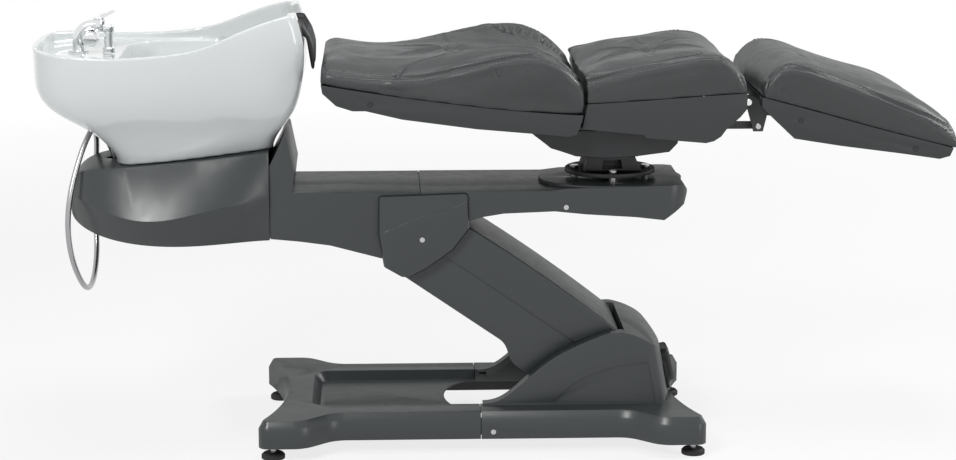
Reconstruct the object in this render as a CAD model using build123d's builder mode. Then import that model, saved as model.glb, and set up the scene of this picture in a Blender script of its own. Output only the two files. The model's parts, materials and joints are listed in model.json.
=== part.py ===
from build123d import *
import os
from math import atan2, cos, degrees, hypot, radians, sin, sqrt, tan

os.makedirs("parts", exist_ok=True)

# The bed stands with its bowl at -X and its foot end at +X. The floor is Z = 0, and the
# lift is shown raised. Lengths are millimetres and angles are degrees.

# Fits, walls and shared fastener sizes
running_gap = 0.05
seat_gap = 0.3
cover_wall = 4
overrun = 20
plate_thickness = 8
pivot_radius = 12
pin_radius = 8
screw_head_radius = 5.5
screw_head_height = 2.6
screw_shank_radius = 2.5
base_screw_x = -2
base_screw_z = 46
knuckle_screw_x = -151
knuckle_screw_z = 451
boom_screw_x = 157
boom_screw_z = 517

# Lift: a parallelogram of an arm and a levelling link
arm_pivot_x = 257
arm_pivot_z = 192
arm_length = 490
arm_tilt = 34.5
link_drop_x = 60
link_drop_z = 75
lift_travel = 26

# Base
base_left_x = -511
base_right_x = 459
end_hollow_depth = 58
lobe_half_width = 286
rail_half_width = 222
lobe_length = 107
lobe_slope_length = 64
lobe_corner_radius = 22
lobe_slope_radius = 60
skirt_bottom_z = 30
base_top_z = 89
bevel_width = 10
bevel_height = 18
seam_x = -28
seam_gap = 1.2
tray_half_width = 150
tray_depth = 20
tray_slope = 17
tray_end_margin = 62
slot_tip_x = -102
slot_round_length = 75
channel_half_width = 133
hump_start_x = -22
hump_half_width = 163
hump_height = 158
hump_length = 415
hump_end_lean = 31
hump_end_crown = 20
hump_wall = 6

# Boom
boom_top_z = 552
boom_half_width = 137
boom_seam_x = -154
boom_tube_height = 26
boom_tube_width = 30

# Bed
seat_mount_x = 262
back_pivot_x = 81
back_pivot_z = 768
leg_pivot_x = 535
leg_pivot_z = 750


def placed(shares, left, low, length, height):
    return [(left + along * length, low + up * height) for along, up in shares]


def side_plane(far_y):
    # Drawn in X and Z. A positive extrusion from here runs towards the near side.
    return Plane.XZ.offset(-far_y)


arm_run_x = -cos(radians(arm_tilt))
arm_run_z = sin(radians(arm_tilt))
arm_plane = Plane(origin=(arm_pivot_x, 0, arm_pivot_z), x_dir=(arm_run_x, 0, arm_run_z), z_dir=(0, 1, 0))
link_pivot_x = arm_pivot_x - link_drop_x
link_pivot_z = arm_pivot_z - link_drop_z
link_plane = Plane(origin=(link_pivot_x, 0, link_pivot_z), x_dir=(arm_run_x, 0, arm_run_z), z_dir=(0, 1, 0))
boom_pivot_x = arm_pivot_x + arm_length * arm_run_x
boom_pivot_z = arm_pivot_z + arm_length * arm_run_z
boom_link_x = boom_pivot_x - link_drop_x
boom_link_z = boom_pivot_z - link_drop_z

# The levels across the lift, from the middle outwards: bracket plates, link bars, arm
# tubes, lower cover, upper cover, and the walls of the base and the boom
bracket_inner_y = 70
link_gap = 2
link_bar_thickness = 6
arm_gap = 4
arm_tube_width = 24
arm_tube_height = 40
lower_cover_gap = 4.5
lower_cover_wall = 3
upper_cover_gap = 2.5
upper_cover_wall = 3
bracket_outer_y = bracket_inner_y + plate_thickness
link_inner_y = bracket_outer_y + link_gap
link_outer_y = link_inner_y + link_bar_thickness
arm_inner_y = link_outer_y + arm_gap
arm_outer_y = arm_inner_y + arm_tube_width
lower_cover_inner_y = arm_outer_y + lower_cover_gap
lower_cover_outer_y = lower_cover_inner_y + lower_cover_wall
upper_cover_inner_y = lower_cover_outer_y + upper_cover_gap
upper_cover_outer_y = upper_cover_inner_y + upper_cover_wall

# Base frame: welded tubes that hide in the covers, with two bracket plates
frame_tube = 30
frame_bottom_z = 34
frame_top_z = frame_bottom_z + frame_tube
frame_rail_y = 187
frame_end_gap = 14
frame_left_x = base_left_x + end_hollow_depth + frame_end_gap
frame_right_x = base_right_x - end_hollow_depth - frame_end_gap
cross_left_x = frame_left_x + frame_tube / 2
cross_right_x = frame_right_x - frame_tube / 2
foot_inset_left = 40
foot_inset_right = 35
foot_left_x = base_left_x + foot_inset_left
foot_right_x = base_right_x - foot_inset_right
foot_y = 245
foot_pad_radius = 25
foot_pad_height = 13
foot_stem_radius = 6
foot_nut_radius = 11
foot_nut_height = 8
tube_wall = 2.5
actuator_pin_x = 163
actuator_pin_z = 75
actuator_pin_radius = 6
bracket_front_reach = 68
bracket_rear_reach = 24
bracket_cross_reach = 37
bracket_front_x = actuator_pin_x - bracket_front_reach
bracket_rear_x = arm_pivot_x + bracket_rear_reach
bracket_cross_front_x = bracket_front_x + frame_tube / 2
bracket_cross_rear_x = arm_pivot_x - bracket_cross_reach
shelf_length = 90
shelf_width = 190
shelf_thickness = 6
cover_post_xs = (-300, -60, 40, 330)
cover_post_radius = 7


def plate_pair(outline, inner_y, thickness):
    # Two plates of one outline, drawn in X and Z, at equal distances either side
    for side in (1, -1):
        plate = outline.sketch.moved(Location((0, side * inner_y, 0)))
        extrude(plate, amount=thickness, dir=(0, side, 0))


def cross_pin(x, z, radius, half_length, mode=Mode.ADD):
    with Locations(Location((x, 0, z), (90, 0, 0))):
        Cylinder(radius, 2 * half_length, mode=mode)


def pin_pair(x, z, radius, inner_y, outer_y, mode=Mode.ADD):
    mid_y = (inner_y + outer_y) / 2
    with Locations(Location((x, mid_y, z), (90, 0, 0)), Location((x, -mid_y, z), (90, 0, 0))):
        Cylinder(radius, outer_y - inner_y, mode=mode)


def side_screw_pair(x, z, face_y):
    # A domed button head on the outer face with its shank through the wall, either side
    for side in (1, -1):
        with Locations(Location((x, side * face_y, z), (-side * 90, 0, 0))):
            Cylinder(screw_head_radius, screw_head_height, align=(Align.CENTER, Align.CENTER, Align.MIN))
            Cylinder(screw_shank_radius, 3 * screw_head_height, align=(Align.CENTER, Align.CENTER, Align.MAX))


def screw_holes(x, z, face_y):
    pin_pair(x, z, screw_shank_radius + running_gap, face_y - overrun, face_y + overrun, Mode.SUBTRACT)


# Base frame
with BuildSketch(Plane.XZ) as bracket_outline:
    with BuildLine():
        Polyline(
            (bracket_front_x, frame_top_z - tube_wall),
            (bracket_front_x, frame_top_z + plate_thickness),
            (actuator_pin_x - 2 * pin_radius, actuator_pin_z + 3 * pin_radius),
            (link_pivot_x - 2 * pin_radius, link_pivot_z + 3 * pin_radius),
            (arm_pivot_x - 2 * pivot_radius, arm_pivot_z + pivot_radius),
            (arm_pivot_x - pivot_radius, arm_pivot_z + 2 * pivot_radius),
            (arm_pivot_x + pivot_radius, arm_pivot_z + 2 * pivot_radius),
            (bracket_rear_x, arm_pivot_z + pivot_radius),
            (bracket_rear_x, frame_top_z - tube_wall),
            close=True,
        )
    make_face()
    with Locations((arm_pivot_x, arm_pivot_z)):
        Circle(pivot_radius + running_gap, mode=Mode.SUBTRACT)
    with Locations((link_pivot_x, link_pivot_z)):
        Circle(pin_radius + running_gap, mode=Mode.SUBTRACT)
    with Locations((actuator_pin_x, actuator_pin_z)):
        Circle(actuator_pin_radius + running_gap, mode=Mode.SUBTRACT)

with BuildPart() as base_frame:
    rail_span = frame_right_x - frame_left_x
    rail_mid_x = (frame_left_x + frame_right_x) / 2
    tube_mid_z = frame_bottom_z + frame_tube / 2
    with Locations((rail_mid_x, frame_rail_y, tube_mid_z), (rail_mid_x, -frame_rail_y, tube_mid_z)):
        Box(rail_span, frame_tube, frame_tube)
    with Locations((cross_left_x, 0, tube_mid_z), (cross_right_x, 0, tube_mid_z)):
        Box(frame_tube, 2 * foot_y + frame_tube, frame_tube)
    with Locations((bracket_cross_front_x, 0, tube_mid_z), (bracket_cross_rear_x, 0, tube_mid_z)):
        Box(frame_tube, 2 * frame_rail_y, frame_tube)
    # Each foot screws into a short stub at the end of a cross tube
    for foot_x, cross_x, outward in ((foot_left_x, cross_left_x, -1), (foot_right_x, cross_right_x, 1)):
        stub_end_x = foot_x + outward * (foot_stem_radius + tube_wall)
        stub_x = (cross_x + stub_end_x) / 2
        with Locations((stub_x, foot_y, tube_mid_z), (stub_x, -foot_y, tube_mid_z)):
            Box(abs(stub_end_x - cross_x), frame_tube, frame_tube)
        with Locations((foot_x, foot_y, tube_mid_z), (foot_x, -foot_y, tube_mid_z)):
            Cylinder(foot_stem_radius + running_gap, 2 * frame_tube, mode=Mode.SUBTRACT)
    # The long tubes are open at both ends
    with Locations((rail_mid_x, frame_rail_y, tube_mid_z), (rail_mid_x, -frame_rail_y, tube_mid_z)):
        Box(rail_span + overrun, frame_tube - 2 * tube_wall, frame_tube - 2 * tube_wall, mode=Mode.SUBTRACT)
    # The bracket plates carry the arm, the link and the lift actuator
    plate_pair(bracket_outline, bracket_inner_y, plate_thickness)
    # A shelf for the control box, and posts on which the covers lie
    with Locations((cross_right_x, 0, frame_top_z)):
        Box(shelf_length, shelf_width, shelf_thickness, align=(Align.MAX, Align.CENTER, Align.MAX))
    for post_x in cover_post_xs:
        with Locations((post_x, frame_rail_y, frame_top_z), (post_x, -frame_rail_y, frame_top_z)):
            Cylinder(
                cover_post_radius,
                base_top_z - cover_wall - frame_top_z,
                align=(Align.CENTER, Align.CENTER, Align.MIN),
            )
base_frame.part.label = "base_frame"
export_step(base_frame.part, "parts/base_frame.step")

# Levelling feet: a threaded stem with its lock nut, on a pad
with BuildPart() as foot_stems:
    stem_bottom_z = foot_pad_height - foot_nut_height / 2
    for foot_x in (foot_left_x, foot_right_x):
        for side in (1, -1):
            with Locations((foot_x, side * foot_y, stem_bottom_z)):
                Cylinder(
                    foot_stem_radius,
                    frame_top_z + foot_nut_height - stem_bottom_z,
                    align=(Align.CENTER, Align.CENTER, Align.MIN),
                )
            with BuildSketch(Plane.XY.offset(frame_bottom_z - foot_nut_height - running_gap)):
                with Locations((foot_x, side * foot_y)):
                    RegularPolygon(foot_nut_radius, 6)
            extrude(amount=foot_nut_height)
foot_stems.part.label = "foot_stems"
export_step(foot_stems.part, "parts/foot_stems.step")

with BuildPart() as foot_pads:
    for foot_x in (foot_left_x, foot_right_x):
        for side in (1, -1):
            with Locations((foot_x, side * foot_y, 0)):
                Cylinder(foot_pad_radius, foot_pad_height, align=(Align.CENTER, Align.CENTER, Align.MIN))
    chamfer(foot_pads.edges().filter_by(GeomType.CIRCLE).group_by(Axis.Z)[-1], foot_pad_height / 3)
    chamfer(foot_pads.edges().filter_by(GeomType.CIRCLE).group_by(Axis.Z)[0], foot_pad_height / 10)
    for foot_x in (foot_left_x, foot_right_x):
        for side in (1, -1):
            with Locations((foot_x, side * foot_y, stem_bottom_z)):
                Cylinder(
                    foot_stem_radius + running_gap,
                    foot_pad_height,
                    align=(Align.CENTER, Align.CENTER, Align.MIN),
                    mode=Mode.SUBTRACT,
                )
foot_pads.part.label = "foot_pads"
export_step(foot_pads.part, "parts/foot_pads.step")

# Pivot shafts and pins that the base carries
with BuildPart() as lower_pivot_shaft:
    cross_pin(arm_pivot_x, arm_pivot_z, pivot_radius, arm_outer_y + link_gap)
    chamfer(lower_pivot_shaft.edges().filter_by(GeomType.CIRCLE), link_gap / 2)
lower_pivot_shaft.part.label = "lower_pivot_shaft"
export_step(lower_pivot_shaft.part, "parts/lower_pivot_shaft.step")

with BuildPart() as lower_link_pins:
    pin_pair(link_pivot_x, link_pivot_z, pin_radius, bracket_inner_y - link_gap, link_outer_y + link_gap)
    chamfer(lower_link_pins.edges().filter_by(GeomType.CIRCLE), link_gap / 2)
lower_link_pins.part.label = "lower_link_pins"
export_step(lower_link_pins.part, "parts/lower_link_pins.step")

with BuildPart() as actuator_base_pin:
    cross_pin(actuator_pin_x, actuator_pin_z, actuator_pin_radius, bracket_outer_y + link_gap)
    chamfer(actuator_base_pin.edges().filter_by(GeomType.CIRCLE), link_gap / 2)
actuator_base_pin.part.label = "actuator_base_pin"
export_step(actuator_base_pin.part, "parts/actuator_base_pin.step")


# Base covers: a lobed skirt with a bevelled top edge, a dished tray and the lift's hump
def base_outline(height, inset):
    left_waist_x = base_left_x + end_hollow_depth
    right_waist_x = base_right_x - end_hollow_depth
    with BuildSketch(Plane.XY.offset(height)) as outline:
        with BuildLine():
            left_lobe_x = base_left_x + lobe_length
            right_lobe_x = base_right_x - lobe_length
            ThreePointArc((base_left_x, lobe_half_width), (left_waist_x, 0), (base_left_x, -lobe_half_width))
            Polyline(
                (base_left_x, -lobe_half_width),
                (left_lobe_x, -lobe_half_width),
                (left_lobe_x + lobe_slope_length, -rail_half_width),
                (right_lobe_x - lobe_slope_length, -rail_half_width),
                (right_lobe_x, -lobe_half_width),
                (base_right_x, -lobe_half_width),
            )
            ThreePointArc((base_right_x, -lobe_half_width), (right_waist_x, 0), (base_right_x, lobe_half_width))
            Polyline(
                (base_right_x, lobe_half_width),
                (right_lobe_x, lobe_half_width),
                (right_lobe_x - lobe_slope_length, rail_half_width),
                (left_lobe_x + lobe_slope_length, rail_half_width),
                (left_lobe_x, lobe_half_width),
                (base_left_x, lobe_half_width),
            )
        make_face()
        corner_points = outline.vertices().group_by(Axis.X)
        fillet(corner_points[0] + corner_points[-1], lobe_corner_radius)
        slope_points = [
            point
            for point in outline.vertices()
            if left_lobe_x - seat_gap < point.X < left_lobe_x + lobe_slope_length + seat_gap
            or right_lobe_x - lobe_slope_length - seat_gap < point.X < right_lobe_x + seat_gap
        ]
        fillet(slope_points, lobe_slope_radius)
        if inset:
            offset(amount=-inset, mode=Mode.REPLACE)
    return outline.sketch


def skirt_solid(inset):
    with BuildPart() as skirt:
        bottom_z = skirt_bottom_z - inset
        extrude(base_outline(bottom_z, inset), amount=base_top_z - inset - bottom_z)
        rim = skirt.faces().sort_by(Axis.Z)[-1]
        chamfer(rim.edges(), bevel_width, bevel_height, reference=rim)
    return skirt.part


hump_outline_shares = [(0, 0.02), (0.16, 0.2), (0.38, 0.67), (0.6, 0.94), (0.72, 1)]
hump_shoulder_share = 0.93
hump_corner_radius = 16


def hump_solid(inset):
    # The side outline, cut by a plan that leans back and has a crowned end
    low_z = base_top_z - (bevel_height if inset else cover_wall / 2)
    end_x = hump_start_x + hump_length
    edge_x = end_x - inset
    foot_z = base_top_z - inset
    outline_points = placed(hump_outline_shares, hump_start_x, foot_z, hump_length, hump_height)
    shoulder = (edge_x - hump_height / 2, foot_z + hump_shoulder_share * hump_height)
    with BuildSketch(Plane.XZ) as side:
        with BuildLine():
            rise = Spline(outline_points, tangents=((1, 0), (1, 0)))
            top = ThreePointArc(rise @ 1, shoulder, (edge_x, foot_z + hump_height / 2))
            Polyline(top @ 1, (edge_x + hump_height / 3, low_z), (hump_start_x, low_z), rise @ 0)
        make_face()
    with BuildSketch(Plane.XY.offset(low_z)) as plan:
        with BuildLine():
            half_width = hump_half_width - inset
            edge_x = end_x - hump_end_crown - inset
            left_x = hump_start_x - overrun
            ThreePointArc((edge_x, -half_width), (end_x - inset, 0), (edge_x, half_width))
            Polyline((edge_x, half_width), (left_x, half_width), (left_x, -half_width), (edge_x, -half_width))
        make_face()
        fillet(plan.vertices().group_by(Axis.X)[-1], hump_corner_radius - inset)
    lean = Vector(-hump_end_lean, 0, hump_height)
    with BuildPart() as hump:
        extrude(side.sketch, amount=hump_half_width, both=True)
        extrude(plan.sketch, amount=2 * lean.length, dir=lean, mode=Mode.INTERSECT)
    return hump.part


inlet_panel_width = 44
inlet_panel_height = 58
inlet_panel_corner = 6
inlet_panel_thickness = 3
inlet_body_width = 22
inlet_body_height = 30
inlet_body_depth = 22
inlet_recess = 12
inlet_rim = 2.5
inlet_blade_width = 2
inlet_blade_height = 5
inlet_y = -44
inlet_height = 36
junction_y = 36
junction_width = 84
junction_height = 78
junction_center = 42
junction_corner = 22
junction_depth = 20
junction_edge = 7
# The hump's end wall, drawn in Y and upwards along its lean
hump_end_plane = Plane(
    origin=(hump_start_x + hump_length, 0, base_top_z),
    x_dir=(0, 1, 0),
    z_dir=(hump_height, 0, hump_end_lean),
)

tray_left_x = base_left_x + end_hollow_depth + tray_end_margin
tray_floor_z = base_top_z - tray_depth
tray_taper = degrees(atan2(tray_slope, tray_depth))
tray_corner_radius = 34


def tray_solid(inset):
    # The dish with an inset of zero, or the wall round it
    left_x = tray_left_x - inset
    length = 2 * (seam_x - left_x)
    with BuildPart() as tray:
        with BuildSketch(Plane.XY.offset(base_top_z - inset / 2)) as mouth:
            with Locations((left_x + length / 2, 0)):
                RectangleRounded(length, 2 * (tray_half_width + inset), tray_corner_radius + inset)
        extrude(amount=-(tray_depth + inset / 2), taper=tray_taper)
    return tray.part


outer_skirt = skirt_solid(0)
inner_skirt = skirt_solid(cover_wall)
outer_hump = hump_solid(0)
inner_hump = hump_solid(hump_wall)
tray_dish = tray_solid(0)
tray_wall = tray_solid(cover_wall)
# The dish runs on across the seam until the hump begins
with BuildPart() as seam_dish:
    add(tray_dish)
    split(bisect_by=Plane.YZ.offset(hump_start_x + overrun), keep=Keep.BOTTOM)
with BuildPart() as seam_dish_wall:
    add(tray_wall)
    split(bisect_by=Plane.YZ.offset(hump_start_x + overrun + cover_wall), keep=Keep.BOTTOM)

with BuildPart() as base_front_cover:
    add(outer_skirt)
    add(inner_skirt, mode=Mode.SUBTRACT)
    add(tray_wall)
    add(tray_dish, mode=Mode.SUBTRACT)
    # The tray's floor ends in a rounded slot that goes on under the arm
    with BuildSketch(Plane.XY.offset(skirt_bottom_z)) as slot:
        slot_half_width = tray_half_width - tray_slope - cover_wall / 2
        with Locations((slot_tip_x + slot_round_length, 0)):
            Ellipse(slot_round_length, slot_half_width)
            Rectangle(base_right_x, 2 * slot_half_width, align=(Align.MIN, Align.CENTER))
    extrude(amount=tray_floor_z + cover_wall - skirt_bottom_z, mode=Mode.SUBTRACT)
    split(bisect_by=Plane.YZ.offset(seam_x - seam_gap / 2), keep=Keep.BOTTOM)
base_front_cover.part.label = "base_front_cover"
export_step(base_front_cover.part, "parts/base_front_cover.step")

# The hollows of the rear cover, with the arm's channel kept out of them
channel_rear_x = bracket_rear_x + cover_wall
channel_height = 4 * hump_height
channel_run = base_right_x - base_left_x
with BuildPart() as rear_hollow:
    add(inner_skirt)
    add(inner_hump)
    with Locations((channel_rear_x + cover_wall, 0, 0)):
        Box(
            channel_run,
            2 * (channel_half_width + cover_wall),
            channel_height,
            align=(Align.MAX, Align.CENTER, Align.CENTER),
            mode=Mode.SUBTRACT,
        )
    add(seam_dish_wall.part, mode=Mode.SUBTRACT)

relief_depth = 3
relief_shares = [(0.37, 0.02), (0.44, 0.23), (0.55, 0.4), (0.7, 0.53), (0.86, 0.58)]
relief_end_share = 0.9
with BuildSketch(Plane.XZ) as relief_outline:
    with BuildLine():
        relief_points = placed(relief_shares, hump_start_x, base_top_z, hump_length, hump_height)
        arch = Spline(relief_points)
        Polyline(arch @ 1, (hump_start_x + relief_end_share * hump_length, relief_points[0][1]), arch @ 0)
    make_face()

with BuildPart() as base_rear_cover:
    add(outer_skirt)
    add(seam_dish.part, mode=Mode.SUBTRACT)
    add(outer_hump)
    add(rear_hollow.part, mode=Mode.SUBTRACT)
    with Locations((channel_rear_x, 0, 0)):
        Box(
            channel_run,
            2 * channel_half_width,
            channel_height,
            align=(Align.MAX, Align.CENTER, Align.CENTER),
            mode=Mode.SUBTRACT,
        )
    # The channel's walls stop just above the frame's cross tubes
    with Locations((frame_right_x + seat_gap, 0, frame_top_z + seat_gap)):
        Box(
            frame_right_x - slot_tip_x,
            2 * frame_rail_y + frame_tube + 2 * seat_gap,
            frame_top_z,
            align=(Align.MAX, Align.CENTER, Align.MAX),
            mode=Mode.SUBTRACT,
        )
    # A shallow arched panel on each side of the hump
    for side in (1, -1):
        panel = relief_outline.sketch.moved(Location((0, side * (hump_half_width - relief_depth), 0)))
        extrude(panel, amount=overrun, dir=(0, side, 0), mode=Mode.SUBTRACT)
    split(bisect_by=Plane.YZ.offset(seam_x + seam_gap / 2), keep=Keep.TOP)
    screw_holes(base_screw_x, base_screw_z, rail_half_width)
    # The mains socket passes through the hump's end wall
    with BuildSketch(hump_end_plane) as socket_opening:
        with Locations((inlet_y, inlet_height)):
            Rectangle(inlet_body_width + 2 * seat_gap, inlet_body_height + 2 * seat_gap)
    extrude(socket_opening.sketch, amount=inlet_body_depth, both=True, mode=Mode.SUBTRACT)
base_rear_cover.part.label = "base_rear_cover"
export_step(base_rear_cover.part, "parts/base_rear_cover.step")

# Behind the hump's end wall: a control box. Outside: the mains inlet on its panel, and a
# rounded housing over the cable junctions.
control_box_length = 46
control_box_width = 180
control_box_height = 84
control_box_corner = 6

with BuildPart() as control_box:
    box_x = channel_rear_x + cover_wall + seat_gap + control_box_length / 2
    with Locations((box_x, 0, frame_top_z + control_box_height / 2)):
        Box(control_box_length, control_box_width, control_box_height)
    fillet(control_box.edges().filter_by(Axis.Z), control_box_corner)
control_box.part.label = "control_box"
export_step(control_box.part, "parts/control_box.step")

with BuildPart() as inlet_panel:
    with BuildSketch(hump_end_plane.offset(-inlet_panel_thickness)) as panel_outline:
        with Locations((inlet_y, inlet_height)):
            RectangleRounded(inlet_panel_width, inlet_panel_height, inlet_panel_corner)
            Rectangle(
                inlet_body_width + 2 * seat_gap,
                inlet_body_height + 2 * seat_gap,
                mode=Mode.SUBTRACT,
            )
    extrude(panel_outline.sketch, amount=2 * inlet_panel_thickness)
    add(outer_hump, mode=Mode.SUBTRACT)
inlet_panel.part.label = "inlet_panel"
export_step(inlet_panel.part, "parts/inlet_panel.step")

with BuildPart() as power_inlet:
    with BuildSketch(hump_end_plane.offset(inlet_panel_thickness)) as inlet_face:
        with Locations((inlet_y, inlet_height)):
            Rectangle(inlet_body_width + 2 * inlet_rim, inlet_body_height + 2 * inlet_rim)
    extrude(inlet_face.sketch, amount=inlet_rim)
    with BuildSketch(hump_end_plane.offset(inlet_panel_thickness)) as inlet_body:
        with Locations((inlet_y, inlet_height)):
            Rectangle(inlet_body_width, inlet_body_height)
    extrude(inlet_body.sketch, amount=-inlet_body_depth)
    with BuildSketch(hump_end_plane.offset(inlet_panel_thickness + inlet_rim)) as inlet_mouth:
        with Locations((inlet_y, inlet_height)):
            Rectangle(inlet_body_width - 2 * inlet_rim, inlet_body_height - 2 * inlet_rim)
    extrude(inlet_mouth.sketch, amount=-inlet_recess, mode=Mode.SUBTRACT)
    # Three blades stand in the recess
    with BuildSketch(hump_end_plane.offset(inlet_panel_thickness + inlet_rim - inlet_recess)) as blades:
        with Locations((inlet_y, inlet_height)):
            with GridLocations(0, inlet_blade_height + inlet_rim, 1, 3):
                Rectangle(inlet_blade_height, inlet_blade_width)
    extrude(blades.sketch, amount=inlet_recess - inlet_rim)
power_inlet.part.label = "power_inlet"
export_step(power_inlet.part, "parts/power_inlet.step")

with BuildPart() as rear_junction_cover:
    with BuildSketch(hump_end_plane.offset(-inlet_panel_thickness)) as junction_outline:
        with Locations((junction_y, junction_center)):
            RectangleRounded(junction_width, junction_height, junction_corner)
    extrude(junction_outline.sketch, amount=inlet_panel_thickness + junction_depth)
    fillet(rear_junction_cover.faces().sort_by(Axis.X)[-1].edges(), junction_edge)
    add(outer_hump, mode=Mode.SUBTRACT)
    add(outer_skirt, mode=Mode.SUBTRACT)
rear_junction_cover.part.label = "rear_junction_cover"
export_step(rear_junction_cover.part, "parts/rear_junction_cover.step")

# Lift arm: two tubes with a pivot boss at each end, tied by two round cross tubes
arm_boss_radius = 24
arm_cross_radius = 16
arm_cross_low = 190
arm_cross_high = 388
arm_pin_distance = 330
arm_lug_inner_y = 26
arm_lug_thickness = 8
arm_lug_radius = 15
arm_pin_x = arm_pivot_x + arm_pin_distance * arm_run_x
arm_pin_z = arm_pivot_z + arm_pin_distance * arm_run_z
cover_boss_radius = 6
cover_boss_offset = 13
cover_boss_low = 70
cover_boss_high = 400


def arm_bar(length, width, boss_radius, bore_radius):
    # A bar with a round boss at each end, drawn along the arm from its lower pivot
    with BuildSketch(Plane.XY) as bar:
        with Locations((length / 2, 0)):
            Rectangle(length, width)
        with Locations((0, 0), (length, 0)):
            Circle(boss_radius)
        with Locations((0, 0), (length, 0)):
            Circle(bore_radius, mode=Mode.SUBTRACT)
    return bar.sketch


def arm_pair(sketch, plane, inner_y, thickness, mode=Mode.ADD):
    # Extrudes a sketch drawn along the arm on both sides of the bed
    for low_y in (inner_y, -inner_y - thickness):
        face = plane.offset(low_y) * sketch
        extrude(face, amount=thickness, dir=(0, 1, 0), mode=mode)


def arm_rod(plane, distance, rise, radius, half_length, mode=Mode.ADD):
    with BuildSketch(plane.offset(-half_length)) as rod:
        with Locations((distance, rise)):
            Circle(radius)
    extrude(rod.sketch, amount=2 * half_length, dir=(0, 1, 0), mode=mode)


with BuildSketch(Plane.XY) as arm_lug:
    with Locations(((arm_cross_high + arm_pin_distance) / 2, 0)):
        Rectangle(arm_cross_high - arm_pin_distance, 2 * arm_lug_radius)
    with Locations((arm_pin_distance, 0)):
        Circle(arm_lug_radius)
        Circle(actuator_pin_radius + running_gap, mode=Mode.SUBTRACT)

with BuildPart() as lift_arm_frame:
    bore_radius = pivot_radius + running_gap
    arm_pair(arm_bar(arm_length, arm_tube_height, arm_boss_radius, bore_radius), arm_plane, arm_inner_y, arm_tube_width)
    for cross_distance in (arm_cross_low, arm_cross_high):
        arm_rod(arm_plane, cross_distance, 0, arm_cross_radius, arm_inner_y + tube_wall)
    arm_pair(arm_lug.sketch, arm_plane, arm_lug_inner_y, arm_lug_thickness)
    # The cross tubes are hollow
    for cross_distance in (arm_cross_low, arm_cross_high):
        arm_rod(arm_plane, cross_distance, 0, arm_cross_radius - tube_wall, arm_outer_y + tube_wall, Mode.SUBTRACT)
lift_arm_frame.part.label = "lift_arm_frame"
export_step(lift_arm_frame.part, "parts/lift_arm_frame.step")

with BuildPart() as actuator_top_pin:
    cross_pin(arm_pin_x, arm_pin_z, actuator_pin_radius, arm_lug_inner_y + arm_lug_thickness + link_gap)
    chamfer(actuator_top_pin.edges().filter_by(GeomType.CIRCLE), link_gap / 2)
actuator_top_pin.part.label = "actuator_top_pin"
export_step(actuator_top_pin.part, "parts/actuator_top_pin.step")

# Upper arm cover: an inverted channel with a slightly crowned top
arm_cover_low_rise = 51
arm_cover_mid_rise = 60
arm_cover_high_rise = 54
arm_cover_side_drop = 22.7
arm_cover_top_end = 428
arm_cover_side_end = 478
arm_cover_low_top = 15
arm_cover_low_bottom = -25
arm_cover_high_bottom = 494
arm_cover_edge_radius = 5


def upper_cover_side(inset):
    with BuildSketch(Plane.XY) as side:
        with BuildLine():
            top_low = (arm_cover_low_top, arm_cover_low_rise - inset)
            top_high = (arm_cover_side_end, arm_cover_high_rise - inset)
            top_mid = (arm_length / 2, arm_cover_mid_rise - inset)
            ThreePointArc(top_low, top_mid, top_high)
            Polyline(
                top_high,
                (arm_cover_high_bottom, -arm_cover_side_drop),
                (arm_cover_low_bottom, -arm_cover_side_drop),
                top_low,
            )
        make_face()
    return side.sketch


with BuildPart() as arm_upper_cover:
    outer = arm_plane.offset(-upper_cover_outer_y) * upper_cover_side(0)
    extrude(outer, amount=2 * upper_cover_outer_y, dir=(0, 1, 0))
    top_edges = arm_upper_cover.edges().filter_by(GeomType.CIRCLE)
    fillet(top_edges, arm_cover_edge_radius)
    inner = arm_plane.offset(-upper_cover_inner_y) * upper_cover_side(upper_cover_wall)
    extrude(inner, amount=2 * upper_cover_inner_y, dir=(0, 1, 0), mode=Mode.SUBTRACT)
    # Both ends and the underside are open, and the top stops short of the boom's brackets
    with BuildSketch(arm_plane.offset(-upper_cover_inner_y)) as open_part:
        with BuildLine():
            Polyline(
                (arm_cover_top_end, arm_boss_radius),
                (arm_cover_top_end, 2 * arm_cover_mid_rise),
                (arm_length + 2 * arm_boss_radius, 2 * arm_cover_mid_rise),
                (arm_length + 2 * arm_boss_radius, -2 * arm_cover_mid_rise),
                (-2 * arm_boss_radius, -2 * arm_cover_mid_rise),
                (-2 * arm_boss_radius, arm_cover_low_rise - upper_cover_wall),
                (arm_cover_low_top, arm_cover_low_rise - upper_cover_wall),
                (2 * arm_boss_radius, arm_boss_radius),
                close=True,
            )
        make_face()
    extrude(amount=2 * upper_cover_inner_y, mode=Mode.SUBTRACT)
    # Moulded bosses reach in to the arm tubes
    for distance in (cover_boss_low, cover_boss_high):
        with BuildSketch(Plane.XY) as boss:
            with Locations((distance, cover_boss_offset)):
                Circle(cover_boss_radius)
        arm_pair(boss.sketch, arm_plane, arm_outer_y, upper_cover_inner_y - arm_outer_y)
arm_upper_cover.part.label = "arm_upper_cover"
export_step(arm_upper_cover.part, "parts/arm_upper_cover.step")

# Levelling link: two flat bars, tied by two cross strips that lie on the lower cover's floor
trough_floor_rise = -14.3
link_bar_height = 20
link_boss_radius = 16
strip_width = 26
strip_thickness = 5
strip_low = 225
strip_high = 420

with BuildPart() as levelling_link_bars:
    bars = arm_bar(arm_length, link_bar_height, link_boss_radius, pin_radius + running_gap)
    arm_pair(bars, link_plane, link_inner_y, link_bar_thickness)
    for distance in (strip_low, strip_high):
        with BuildSketch(link_plane.offset(-lower_cover_inner_y + seat_gap)) as strip:
            with Locations((distance, trough_floor_rise + lower_cover_wall + strip_thickness / 2)):
                Rectangle(strip_width, strip_thickness)
        extrude(amount=2 * (lower_cover_inner_y - seat_gap))
levelling_link_bars.part.label = "levelling_link_bars"
export_step(levelling_link_bars.part, "parts/levelling_link_bars.step")

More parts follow.
